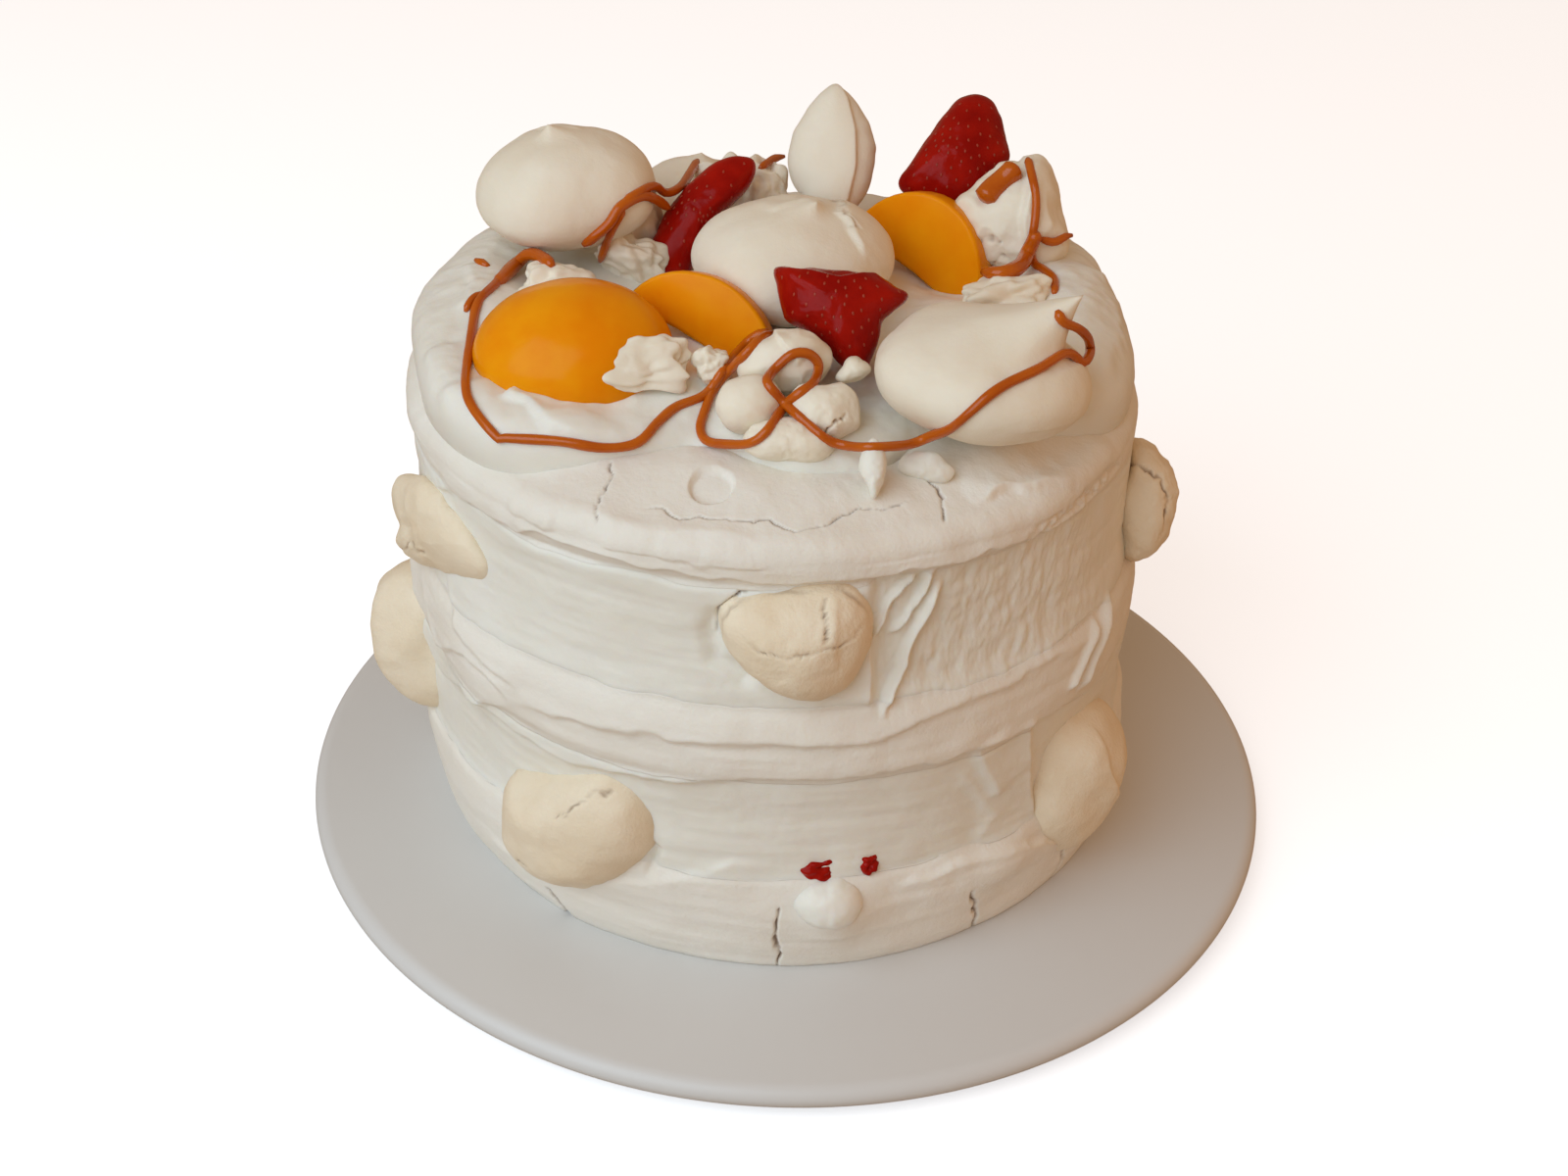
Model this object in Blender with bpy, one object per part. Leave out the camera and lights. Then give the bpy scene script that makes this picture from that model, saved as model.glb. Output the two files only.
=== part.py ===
"""A meringue layer cake on its plate: meringue discs and whipped cream, with meringue kisses,
fruit and a caramel drizzle. Metres, +Z up, origin at the middle of the plate's underside."""

from dataclasses import dataclass
from math import atan2, cos, exp, hypot, pi, radians, sin, sqrt

import bmesh
import bpy
from mathutils import Euler, Matrix, Vector, noise
from mathutils.bvhtree import BVHTree

MM = 0.001
GAP = 0.35 * MM

# Plate
PLATE_RADIUS = 140 * MM
PLATE_HEIGHT = 10 * MM
PLATE_EDGE = 4 * MM
PLATE_FOOT_RADIUS = 95 * MM
PLATE_FOOT_HEIGHT = 3 * MM
PLATE_SEGMENTS = 48

# Cake: heights are above the top of the plate, and the stack leans a little to the left
CAKE_CENTRE = Vector((-3 * MM, 2 * MM, PLATE_HEIGHT))
CAKE_LEAN = -0.036
CAKE_SEGMENTS = 48
LAYER_LEVELS = {
    "bottom_meringue_disc": (0, 31 * MM),
    "lower_cream_layer": (31 * MM, 62 * MM),
    "middle_meringue_disc": (62 * MM, 84 * MM),
    "upper_cream_layer": (84 * MM, 117 * MM),
    "top_meringue_disc": (117 * MM, 135 * MM),
}
TOP_LEVEL = 135 * MM

# Caramel: where the strand falls, in millimetres to the right of and behind the plate's middle
CARAMEL_WIDTH = 3.2 * MM
CARAMEL_STEP = 6.2 * MM
CARAMEL_ROUTES = (
    ((-85, -9), (-82, -16), (-82, -31), (-81, -43), (-76, -54), (-68, -61), (-57, -63), (-46, -63),
     (-38, -60), (-31, -55), (-25, -54), (-20, -59), (-15, -52), (-8, -46)),
    ((-9, -48), (-16, -57), (-20, -63)),
    ((-25, -59), (-20, -66), (-13, -69), (-6, -70), (0, -66), (5, -62), (3, -54), (-3, -52), (-8, -59),
     (-3, -64), (4, -69), (10, -69), (16, -66), (22, -64), (27, -65), (32, -71), (38, -73), (46, -69), (53, -64),
     (60, -58), (65, -52), (70, -38), (72, -29), (70, -18), (66, -6), (64, 6), (61, 12), (60, 18), (59, 27)),
    ((-80, -12), (-77, -4), (-72, 1), (-67, -1)),
    ((-59, 6), (-53, 6), (-48, 8), (-45, 13), (-42, 19)),
    ((-40, 56), (-34, 58), (-30, 63)),
)

# Faces that meet flatter than this, in degrees, are joined after the cuts
LAYER_FLATNESS = 3.0
TOPPING_FLATNESS = 4.0

CREAM = ((0.80, 0.76, 0.66, 1.0), 0.55)
MERINGUE = ((0.82, 0.75, 0.64, 1.0), 0.75)
BAKED_MERINGUE = ((0.74, 0.62, 0.46, 1.0), 0.80)
PORCELAIN = ((0.62, 0.60, 0.58, 1.0), 0.35)
PEACH = ((0.80, 0.36, 0.02, 1.0), 0.30)
STRAWBERRY = ((0.48, 0.015, 0.010, 1.0), 0.30)


def bump(value: float, middle: float, width: float) -> float:
    """A smooth hill of height 1 at middle."""
    return exp(-(((value - middle) / width) ** 2))


def turn_between(azimuth: float, middle: float) -> float:
    """The signed angle in degrees from middle to azimuth."""
    return (azimuth - middle + 180.0) % 360.0 - 180.0


def blend(value: float, low: float, high: float) -> float:
    """0 below low, 1 above high and a smooth step between them."""
    share = min(1.0, max(0.0, (value - low) / (high - low)))
    return share * share * (3.0 - 2.0 * share)


def axis_at(height: float) -> Vector:
    """The middle of the leaning stack at a height above the plate."""
    return CAKE_CENTRE + Vector((CAKE_LEAN * height, 0.0, height))


def on_cake(azimuth: float, radius: float, height: float) -> Vector:
    """A point by azimuth in degrees (0 in front, 90 at the right), radius and height above the plate."""
    angle = radians(azimuth)
    return axis_at(height) + Vector((radius * sin(angle), -radius * cos(angle), 0.0))


def body_radius(height: float) -> float:
    """The stack's plain outline: widest in the lower cream, narrower towards the top."""
    rise = height / TOP_LEVEL
    return (96.5 + 14.0 * rise * (1.0 - rise) - 1.5 * rise) * MM


def side_waves(azimuth: float, height: float) -> float:
    """The slow unevenness of a cake spread by hand."""
    angle = radians(azimuth)
    slow = sin(2.0 * angle + 0.7) + 0.7 * sin(3.0 * angle + 2.1 + 20.0 * height)
    folds = sin(7.0 * angle + 85.0 * height) * bump(height, 55 * MM, 60 * MM)
    left_belly = bump(turn_between(azimuth, -86), 0, 26) * bump(height, 32 * MM, 30 * MM)
    return (0.8 * slow + 0.5 * folds + 3.2 * left_belly) * MM


def disc_edge(share: float, bulge: float) -> float:
    """How far a baked disc's edge stands out at a share of its height, rounded at both rims."""
    return bulge * (1.0 - abs(2.0 * share - 1.0) ** 3.0) - 0.5 * bulge


def layer_radius(name: str, azimuth: float, height: float) -> float:
    """The outline of one layer at an azimuth and a height above the plate."""
    low, high = LAYER_LEVELS[name]
    share = (height - low) / (high - low)
    radius = body_radius(height) + side_waves(azimuth, height)
    if name == "bottom_meringue_disc":
        radius += disc_edge(share, 2.0 * MM) + (2.8 - 1.2 * bump(turn_between(azimuth, 0), 0, 50)) * MM
        radius += 3.5 * MM * bump(turn_between(azimuth, 10), 0, 5.5) * bump(height, 20 * MM, 9 * MM)
        radius += 2.5 * MM * bump(turn_between(azimuth, 37), 0, 6) * bump(height, 24 * MM, 7 * MM)
    elif name == "middle_meringue_disc":
        radius += disc_edge(share, 2.4 * MM) + 0.4 * MM
    elif name == "top_meringue_disc":
        radius += disc_edge(share, 3.0 * MM) - 1.5 * MM * share ** 2
    elif name == "upper_cream_layer":
        radius -= 1.2 * MM * sin(pi * share)
    else:
        radius -= 0.8 * MM * sin(pi * share)
    return radius


def new_material(name: str, look: tuple) -> bpy.types.Material:
    """A Principled material of one colour and roughness."""
    colour, rough = look
    material = bpy.data.materials.new(name)
    material.use_nodes = True
    shader = material.node_tree.nodes["Principled BSDF"]
    shader.inputs["Base Color"].default_value = colour
    shader.inputs["Roughness"].default_value = rough
    shader.inputs["Metallic"].default_value = 0.0
    material.diffuse_color = colour
    return material


def finished(bm: bmesh.types.BMesh, name: str, look: tuple, home: bpy.types.Collection) -> bpy.types.Object:
    """Turns a bmesh into a named object with its own material."""
    bmesh.ops.remove_doubles(bm, verts=bm.verts, dist=0.00002)
    bmesh.ops.recalc_face_normals(bm, faces=bm.faces)
    bmesh.ops.triangulate(bm, faces=bm.faces)
    mesh = bpy.data.meshes.new(name)
    bm.to_mesh(mesh)
    bm.free()
    mesh.shade_smooth()
    mesh.materials.append(new_material(name, look))
    thing = bpy.data.objects.new(name, mesh)
    home.objects.link(thing)
    return thing


def turned(profile: list[tuple[float, float]], segments: int) -> bmesh.types.BMesh:
    """A solid of revolution about Z from a profile of radius and height that ends on the axis."""
    bm = bmesh.new()
    points = [bm.verts.new((radius, 0.0, height)) for radius, height in profile]
    edges = [bm.edges.new(pair) for pair in zip(points, points[1:])]
    bmesh.ops.spin(bm, geom=points + edges, cent=(0, 0, 0), axis=(0, 0, 1), angle=2 * pi,
                   steps=segments, use_merge=True)
    bmesh.ops.remove_doubles(bm, verts=bm.verts, dist=0.00002)
    return bm


def build_plate(home: bpy.types.Collection) -> bpy.types.Object:
    """A flat round plate with a rolled edge and a low foot ring's disc under it."""
    profile = [(0.0, 0.0), (PLATE_FOOT_RADIUS - 1 * MM, 0.0), (PLATE_FOOT_RADIUS, 0.6 * MM),
               (PLATE_FOOT_RADIUS + 4 * MM, PLATE_FOOT_HEIGHT),
               (PLATE_RADIUS - PLATE_EDGE, PLATE_FOOT_HEIGHT)]
    middle = (PLATE_HEIGHT + PLATE_FOOT_HEIGHT) / 2
    half = (PLATE_HEIGHT - PLATE_FOOT_HEIGHT) / 2
    for step in range(1, 6):
        angle = -pi / 2 + pi * step / 6
        profile.append((PLATE_RADIUS - PLATE_EDGE + PLATE_EDGE * cos(angle), middle + half * sin(angle)))
    profile += [(PLATE_RADIUS - PLATE_EDGE, PLATE_HEIGHT), (0.0, PLATE_HEIGHT)]
    return finished(turned(profile, PLATE_SEGMENTS), "plate", PORCELAIN, home)


def disc_top(azimuth: float, radius: float) -> float:
    """The top disc's surface above the plate: nearly flat, then falling away to its rim."""
    fall = blend(radius, 74 * MM, 99 * MM)
    dents = 0.5 * sin(radians(5 * azimuth)) * sin(radius * 160.0)
    bubble = bump(hypot(radius * sin(radians(azimuth)) + 13 * MM, radius * cos(radians(azimuth)) - 82 * MM),
                  0, 4.5 * MM)
    return TOP_LEVEL - 6.5 * MM * fall + dents * MM * (1 - fall) + 0.8 * MM * bubble


def layer_profile(name: str) -> list[tuple[float, float]]:
    """Radius shares and heights of a layer's rings, from the axis below to the axis above."""
    low, high = LAYER_LEVELS[name]
    low += GAP
    steps = 4
    rings = [(0.0, low), (1.0, low)]
    rings += [(1.0, low + (high - low) * step / steps) for step in range(1, steps)]
    if name == "top_meringue_disc":
        rings += [(share, high) for share in (0.985, 0.94, 0.86, 0.76, 0.5)]
    else:
        rings.append((1.0, high))
    rings.append((0.0, high))
    return rings


def build_layer(name: str, look: tuple, home: bpy.types.Collection) -> bpy.types.Object:
    """One layer of the stack, its edge shaped by layer_radius."""
    bm = turned(layer_profile(name), CAKE_SEGMENTS)
    high = LAYER_LEVELS[name][1]
    for vert in bm.verts:
        share = hypot(vert.co.x, vert.co.y)
        azimuth = atan2(vert.co.x, -vert.co.y) * 180 / pi if share else 0.0
        height = vert.co.z
        radius = share * layer_radius(name, azimuth, height)
        if name == "top_meringue_disc" and height == high:
            height = disc_top(azimuth, radius)
        vert.co = on_cake(azimuth, radius, height)
    return finished(bm, name, look, home)


def build_envelope(home: bpy.types.Collection) -> bpy.types.Object:
    """The whole stack's side a gap further out, which trims what is pressed onto the side."""
    rings = []
    for name in LAYER_LEVELS:
        rings += [(name, share, height) for share, height in layer_profile(name) if share == 1.0]
    shares = [(0.0, 0.0)] + [(1.0, index * MM) for index in range(len(rings))]
    bm = turned(shares + [(0.0, (len(rings) - 1) * MM)], CAKE_SEGMENTS)
    for vert in bm.verts:
        name, share, height = rings[round(vert.co.z / MM)]
        if hypot(vert.co.x, vert.co.y) < 0.5:
            vert.co = axis_at(height)
            continue
        azimuth = atan2(vert.co.x, -vert.co.y) * 180 / pi
        vert.co = on_cake(azimuth, layer_radius(name, azimuth, height) + GAP, height)
    return finished(bm, "side_envelope", CREAM, home)


def cream_reach(azimuth: float) -> float:
    """How far out the top cream spreads: short in front, where the top disc stays bare."""
    around = turn_between(azimuth, 0)
    front = 1.0 - max(blend(-around, 14, 46), blend(around, 34, 70))
    lobes = 2.2 * sin(radians(6 * azimuth + 40)) + 1.4 * sin(radians(11 * azimuth))
    tongue = 7.0 * bump(around, 22, 9)
    return (95.0 - 25.5 * front + lobes * (0.4 + 0.9 * front) + tongue) * MM


def cream_height(azimuth: float, radius: float) -> float:
    """The top cream's surface above the plate: high at both sides and lower in front and behind."""
    left = bump(turn_between(azimuth, -88), 0, 48)
    right = bump(turn_between(azimuth, 96), 0, 48)
    crown = (140.0 + 10.0 * left + 15.0 * right) * MM
    inner = 143.5 * MM
    level = inner + (crown - inner) * blend(radius, 40 * MM, 84 * MM)
    swirl = 1.1 * sin(radians(4 * azimuth) + radius * 190.0) + 0.7 * sin(radians(9 * azimuth + 50))
    edge = min(1.0, radius / cream_reach(azimuth))
    rounding = sqrt(max(0.0, 1.0 - edge ** 10))
    floor = 131.5 * MM
    return floor + (level + swirl * MM - floor) * (0.25 + 0.75 * rounding)


def build_top_cream(home: bpy.types.Collection) -> bpy.types.Object:
    """The cream on top of the cake, which the toppings are pressed into."""
    shares = (0.985, 0.93, 0.82, 0.62, 0.34)
    profile = [(0.0, 0.0), (1.0, 0.0), (1.0, 1.0)] + [(share, 1.0) for share in shares] + [(0.0, 1.0)]
    bm = turned(profile, CAKE_SEGMENTS)
    for vert in bm.verts:
        share = hypot(vert.co.x, vert.co.y)
        azimuth = atan2(vert.co.x, -vert.co.y) * 180 / pi if share else 0.0
        radius = share * cream_reach(azimuth)
        height = cream_height(azimuth, radius) if vert.co.z > 0.5 else 118 * MM
        vert.co = on_cake(azimuth, radius, height)
    return finished(bm, "top_cream", CREAM, home)


@dataclass(frozen=True)
class Kiss:
    """A piped meringue kiss: width across, heights below and above its widest level, and its peak."""

    width: float
    below: float
    above: float
    peak: float = 3.0
    lean: tuple[float, float] = (0.0, 0.0)
    phase: float = 0.0
    segments: int = 16

    def form(self) -> bmesh.types.BMesh:
        """The kiss about its own middle, in metres."""
        bm = bmesh.new()
        bmesh.ops.create_uvsphere(bm, u_segments=self.segments, v_segments=self.segments // 2 + 1, radius=1.0)
        for vert in bm.verts:
            x, y, z = vert.co
            round_about = atan2(y, x)
            flute = 1.0 + 0.03 * sin(3 * round_about + self.phase) + 0.02 * sin(5 * round_about - self.phase)
            tip = max(0.0, (z - 0.80) / 0.20) ** 1.6
            x = x * flute * self.width / 2 + self.lean[0] * tip
            y = y * flute * self.width / 2 + self.lean[1] * tip
            z = z * (self.above if z > 0 else self.below) + self.peak * blend(z, 0.93, 1.0)
            vert.co = Vector((x, y, z)) * MM
        return bm


def placed(bm: bmesh.types.BMesh, place: Vector, turn: tuple[float, float, float] = (0, 0, 0)) -> bmesh.types.BMesh:
    """Turns a form by degrees about X, Y and Z and moves it to its place."""
    matrix = Matrix.Translation(place) @ Euler([radians(angle) for angle in turn]).to_matrix().to_4x4()
    bmesh.ops.transform(bm, matrix=matrix, verts=bm.verts)
    return bm


def top_place(x: float, y: float, height: float) -> Vector:
    """A point by millimetres across the plate's middle and height above the plate."""
    return Vector((x * MM, y * MM, height * MM + PLATE_HEIGHT))


def rock(size: tuple[float, float, float], rough: float, seed: float, detail: int = 2) -> bmesh.types.BMesh:
    """A broken lump of meringue with facets and dents."""
    bm = bmesh.new()
    bmesh.ops.create_icosphere(bm, subdivisions=detail, radius=1.0)
    for vert in bm.verts:
        point = vert.co.copy()
        shift = Vector((seed * 3.1, seed * 1.7, seed * 2.3))
        swell = 1.0 + rough * noise.noise(point * 1.4 + shift) + 0.4 * rough * noise.noise(point * 3.1 - shift)
        flat = Vector([max(-0.8, min(0.8, value)) / 0.8 for value in point])
        mixed = (point * 0.55 + flat * 0.35) * swell
        vert.co = Vector([value * side / 2 * MM for value, side in zip(mixed, size)])
    return bm


def berry(length: float, width: float, thick: float, cut: float, bow: float = 0.0,
          segments: int = 12) -> bmesh.types.BMesh:
    """A strawberry piece along +Z, tip up: a rounded cone flattened to thick, cut flat at one side."""
    bm = bmesh.new()
    bmesh.ops.create_uvsphere(bm, u_segments=segments, v_segments=9, radius=1.0)
    for vert in bm.verts:
        x, y, z = vert.co
        share = (z + 1) / 2
        spread = 1.0 + 0.18 * sin(pi * share) - 0.42 * share ** 1.5
        vert.co = Vector((x * spread * width / 2, max(y, -cut) * spread * thick / 2,
                          (z * length / 2))) * MM
        vert.co.x += bow * MM * (1 - z * z)
    return bm


def peach_wedge(length: float, height: float, spread: float, steps: int = 5) -> bmesh.types.BMesh:
    """A wedge of peach: a half oval spun by spread degrees about its straight inner edge, along X."""
    bm = bmesh.new()
    points = []
    for step in range(9):
        angle = pi * step / 8
        points.append(bm.verts.new((cos(angle) * length / 2 * MM, 0.0, sin(angle) * height * MM)))
    for share in (-0.5, 0.0, 0.5):
        hollow = 0.16 * height * (1.0 - (2 * share) ** 2 * 0.9)
        points.append(bm.verts.new((share * length * 0.9 * MM, 0.0, hollow * MM)))
    face = bm.faces.new(points)
    geometry = [face] + list(face.edges) + list(face.verts)
    bmesh.ops.spin(bm, geom=geometry, cent=(0, 0, 0), axis=(1, 0, 0), angle=radians(spread), steps=steps,
                   use_merge=False)
    return bm


def peach_half(length: float, width: float, height: float) -> bmesh.types.BMesh:
    """A broad peach slice lying on its flat cut."""
    bm = bmesh.new()
    bmesh.ops.create_uvsphere(bm, u_segments=16, v_segments=9, radius=1.0)
    for vert in bm.verts:
        x, y, z = vert.co
        vert.co = Vector((x * length / 2, y * width / 2, max(z, -0.25) * height)) * MM
    return bm


def grown_copy(piece: bpy.types.Object, by: float, home: bpy.types.Collection) -> bpy.types.Object:
    """A hidden copy of a piece pushed out along its normals, which cuts its seat in a neighbour."""
    name = f"seat_of_{piece.name}"
    if name in bpy.data.objects:
        return bpy.data.objects[name]
    bm = bmesh.new()
    bm.from_mesh(piece.data)
    bm.normal_update()
    pushes = [(vert, vert.normal * by * min(2.5, vert.calc_shell_factor())) for vert in bm.verts]
    for vert, push in pushes:
        vert.co += push
    mesh = bpy.data.meshes.new(name)
    bm.to_mesh(mesh)
    bm.free()
    cutter = bpy.data.objects.new(name, mesh)
    cutter.hide_render = True
    cutter.display_type = "WIRE"
    home.objects.link(cutter)
    return cutter


def boxes_meet(first: bpy.types.Object, second: bpy.types.Object) -> bool:
    """Whether the upright boxes of two meshes overlap."""
    for axis in range(3):
        a = [vert.co[axis] for vert in first.data.vertices]
        b = [vert.co[axis] for vert in second.data.vertices]
        if min(a) > max(b) + GAP or min(b) > max(a) + GAP:
            return False
    return True


def combine(piece: bpy.types.Object, other: bpy.types.Object, operation: str, solver: str = "EXACT") -> None:
    """Applies one Boolean to a piece."""
    modifier = piece.modifiers.new(f"{operation.lower()}_{other.name}", "BOOLEAN")
    modifier.operation = operation
    modifier.object = other
    modifier.solver = solver
    graph = bpy.context.evaluated_depsgraph_get()
    mesh = bpy.data.meshes.new_from_object(piece.evaluated_get(graph))
    piece.modifiers.clear()
    before = piece.data
    piece.data = mesh
    name = before.name
    bpy.data.meshes.remove(before)
    mesh.name = name


def keep_largest(piece: bpy.types.Object) -> None:
    """Drops the loose scraps that a cut left beside a piece."""
    bm = bmesh.new()
    bm.from_mesh(piece.data)
    unseen = set(bm.verts)
    groups = []
    while unseen:
        reached = {unseen.pop()}
        edge = list(reached)
        while edge:
            vert = edge.pop()
            for link in vert.link_edges:
                other = link.other_vert(vert)
                if other in unseen:
                    unseen.discard(other)
                    reached.add(other)
                    edge.append(other)
        groups.append(reached)
    groups.sort(key=len)
    for group in groups[:-1]:
        bmesh.ops.delete(bm, geom=list(group), context="VERTS")
    bm.to_mesh(piece.data)
    bm.free()


def simplified(piece: bpy.types.Object, degrees: float) -> None:
    """Joins faces that meet flatter than an angle, as cuts leave them, and splits them to triangles."""
    bm = bmesh.new()
    bm.from_mesh(piece.data)
    bmesh.ops.dissolve_limit(bm, angle_limit=radians(degrees), verts=bm.verts, edges=bm.edges)
    bmesh.ops.triangulate(bm, faces=bm.faces)
    bm.to_mesh(piece.data)
    bm.free()


def build_top_toppings(home: bpy.types.Collection) -> list[bpy.types.Object]:
    """Everything that lies on the top cream, the pieces that others rest against first."""
    kisses = {
        "kiss_centre": (Kiss(52, 14, 15, 2.5, (4, -3), 0.4), top_place(-3, 3, 155), (0, 0, 0)),
        "kiss_back_left": (Kiss(48, 13, 17, 3.0, (-3, -2), 1.9), top_place(-65, 25, 163), (0, -4, 0)),
        "kiss_front_right": (Kiss(51, 14, 14, 9.0, (17, -3), 3.2, 18), top_place(43, -51, 152), (0, 6, 0)),
        "kiss_half_standing": (Kiss(40, 6, 15, 2.0, (0, 0), 2.6), top_place(5.5, 48, 166), (0, 80, 18)),
        "kiss_back": (Kiss(34, 9, 11, 2.0, (2, 2), 0.9, 12), top_place(-32, 66, 146), (0, 0, 0)),
    }
    made = []
    for name, (kiss, place, turn) in kisses.items():
        made.append(finished(placed(kiss.form(), place, turn), name, MERINGUE, home))
    rocks = {
        "broken_meringue_right": (rock((30, 27, 36), 0.30, 3.0, 3), top_place(54, 22, 159), (6, 14, 20)),
        "broken_meringue_1": (rock((30, 20, 21), 0.35, 1.0), top_place(-4, -45, 151), (0, 5, -10)),
        "broken_meringue_2": (rock((21, 17, 18), 0.30, 2.0), top_place(-14, -58, 146), (0, 0, 30)),
        "broken_meringue_3": (rock((24, 17, 20), 0.35, 4.0), top_place(8, -61, 146), (0, 10, 15)),
        "broken_meringue_4": (rock((24, 12, 11), 0.35, 5.0), top_place(-1, -69, 140), (0, 0, 5)),
        "meringue_crumb_1": (rock((10, 8, 9), 0.40, 6.0), top_place(15, -38, 149), (0, 0, 0)),
        "meringue_shard_1": (rock((22, 12, 16), 0.55, 7.0), top_place(-42, 17, 148), (20, 30, 0)),
        "meringue_shard_2": (rock((16, 8, 20), 0.55, 8.0), top_place(-40, 28, 153), (0, -25, 40)),
        "meringue_shard_3": (rock((22, 14, 12), 0.45, 9.0), top_place(-62, -3, 148), (0, 10, 20)),
        "meringue_shard_4": (rock((18, 12, 22), 0.40, 10.0), top_place(-24, 51, 153), (0, 20, 0)),
        "meringue_shard_5": (rock((13, 13, 22), 0.35, 11.0), top_place(-11, 47, 155), (0, 0, 30)),
        "meringue_shard_6": (rock((24, 9, 14), 0.50, 12.0), top_place(-38, -48, 149), (-30, 0, 12)),
        "meringue_shard_7": (rock((28, 16, 13), 0.45, 13.0), top_place(52, -8, 151), (0, -8, 15)),
        "meringue_crumb_2": (rock((9, 8, 9), 0.40, 14.0), top_place(-22, -44, 148), (0, 0, 0)),
    }
    for name, (form, place, turn) in rocks.items():
        made.append(finished(placed(form, place, turn), name, MERINGUE, home))
    fruit = {
        "peach_slice_1": (peach_half(50, 40, 15), top_place(-57, -34, 146), (14, -4, -6), PEACH),
        "peach_slice_2": (peach_wedge(44, 20, 50), top_place(-27, -26, 142), (-62, 24, -24), PEACH),
        "peach_slice_3": (peach_wedge(46, 26, 55), top_place(31, 20, 143), (-64, 22, -36), PEACH),
        "strawberry_left": (berry(46, 20, 20, 0.5, 3.0), top_place(-28, 27, 155), (-20, 42, 10), STRAWBERRY),
        "strawberry_centre": (berry(40, 32, 22, 0.4), top_place(9, -34, 156), (24, -62, 12), STRAWBERRY),
        "strawberry_back": (berry(50, 29, 24, 0.6), top_place(41, 43, 165), (0, 24, -8), STRAWBERRY),
    }
    for name, (form, place, turn, look) in fruit.items():
        made.append(finished(placed(form, place, turn), name, look, home))
    return made


def side_kiss_turn(azimuth: float, tilt: float, roll: float) -> Matrix:
    """Turns a kiss so that its rounded top faces out of the cake's side."""
    outwards = Euler((radians(90 - tilt), 0.0, 0.0)).to_matrix().to_4x4()
    return Matrix.Rotation(radians(azimuth), 4, "Z") @ outwards @ Matrix.Rotation(radians(roll), 4, "Z")


def build_side_kisses(home: bpy.types.Collection) -> list[bpy.types.Object]:
    """Baked kisses pressed into the cake's side: azimuth, height, sideways and upright widths, and depth."""
    rows = (
        (-60, 99, 52, 30, 11, -32, 0),
        (-79, 52, 36, 50, 17, 4, 4),
        (4, 102, 38, 33, 12, 4, 0),
        (-31, 34, 43, 35, 12, -12, 0),
        (58, 34, 44, 44, 11, 62, 0),
        (80, 97, 38, 38, 13, 90, 0),
        (112, 44, 40, 34, 11, 12, 0),
        (140, 101, 38, 34, 11, -14, 0),
        (176, 36, 42, 35, 12, 8, 0),
        (-152, 98, 39, 33, 12, 20, 0),
        (-120, 42, 40, 36, 11, -16, 0),
    )
    made = []
    for index, (azimuth, height, wide, tall, proud, roll, tilt) in enumerate(rows, 1):
        bm = bmesh.new()
        bmesh.ops.create_uvsphere(bm, u_segments=11, v_segments=8, radius=1.0)
        for vert in bm.verts:
            x, y, z = vert.co
            dent = 1.0 + 0.16 * noise.noise(vert.co * 1.6 + Vector((index * 2.7, 0.0, index)))
            flat = min(z, 0.86) if index % 2 else z
            vert.co = Vector((x * wide / 2, y * tall / 2, flat * (proud + 4))) * dent * MM
        seat = on_cake(azimuth, body_radius(height * MM) - 4 * MM, height * MM)
        turn = side_kiss_turn(azimuth, tilt, roll)
        bmesh.ops.transform(bm, matrix=Matrix.Translation(seat) @ turn, verts=bm.verts)
        made.append(finished(bm, f"side_kiss_{index:02d}", BAKED_MERINGUE, home))
    return made


def build_filling_bits(home: bpy.types.Collection) -> list[bpy.types.Object]:
    """Pieces of strawberry that show where the lower cream meets the bottom disc."""
    rows = ((8.5, 36, 12, 8), (17.0, 35.5, 9, 6), (-60, 37, 7, 9), (128, 37, 11, 7), (-142, 36.5, 10, 7))
    made = []
    for index, (azimuth, height, wide, tall) in enumerate(rows, 1):
        bm = rock((wide, 12, tall), 0.3, 20.0 + index)
        place = on_cake(azimuth, body_radius(height * MM) - 3.8 * MM, height * MM)
        bmesh.ops.transform(bm, matrix=Matrix.Translation(place) @ Matrix.Rotation(radians(azimuth), 4, "Z"),
                            verts=bm.verts)
        made.append(finished(bm, f"filling_strawberry_{index}", STRAWBERRY, home))
    return made


def smooth_route(points: tuple, spacing: float) -> list[Vector]:
    """Points about a spacing apart on a smooth curve through a route's own points, in metres."""
    ends = [Vector(point) * MM for point in (points[0],) + points + (points[-1],)]
    made = []
    for before, start, end, after in zip(ends, ends[1:], ends[2:], ends[3:]):
        count = max(1, round((end - start).length / spacing))
        for step in range(count):
            t = step / count
            made.append(0.5 * (2 * start + (end - before) * t + (2 * before - 5 * start + 4 * end - after) * t ** 2
                               + (3 * start - before - 3 * end + after) * t ** 3))
    return made + [ends[-1]]


def dropped(route: list[Vector], pieces: list[bpy.types.Object]) -> list[tuple[str, list[Vector]]]:
    """Lets a route fall on the pieces and splits it into stretches that each lie on one of them."""
    trees = {}
    for piece in pieces:
        points = [vert.co for vert in piece.data.vertices]
        faces = [tuple(face.vertices) for face in piece.data.polygons]
        trees[piece.name] = BVHTree.FromPolygons(points, faces)
    stretches = []
    for point in route:
        found = []
        for name, tree in trees.items():
            place = tree.ray_cast(Vector((point.x, point.y, 1.0)), Vector((0, 0, -1)))[0]
            if place is not None:
                found.append((place.z, name, place))
        height, name, place = max(found)
        if not stretches or stretches[-1][0] != name:
            stretches.append((name, []))
        stretches[-1][1].append(place + Vector((0, 0, 0.15 * CARAMEL_WIDTH)))
    return [stretch for stretch in stretches if len(stretch[1]) > 1]


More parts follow.
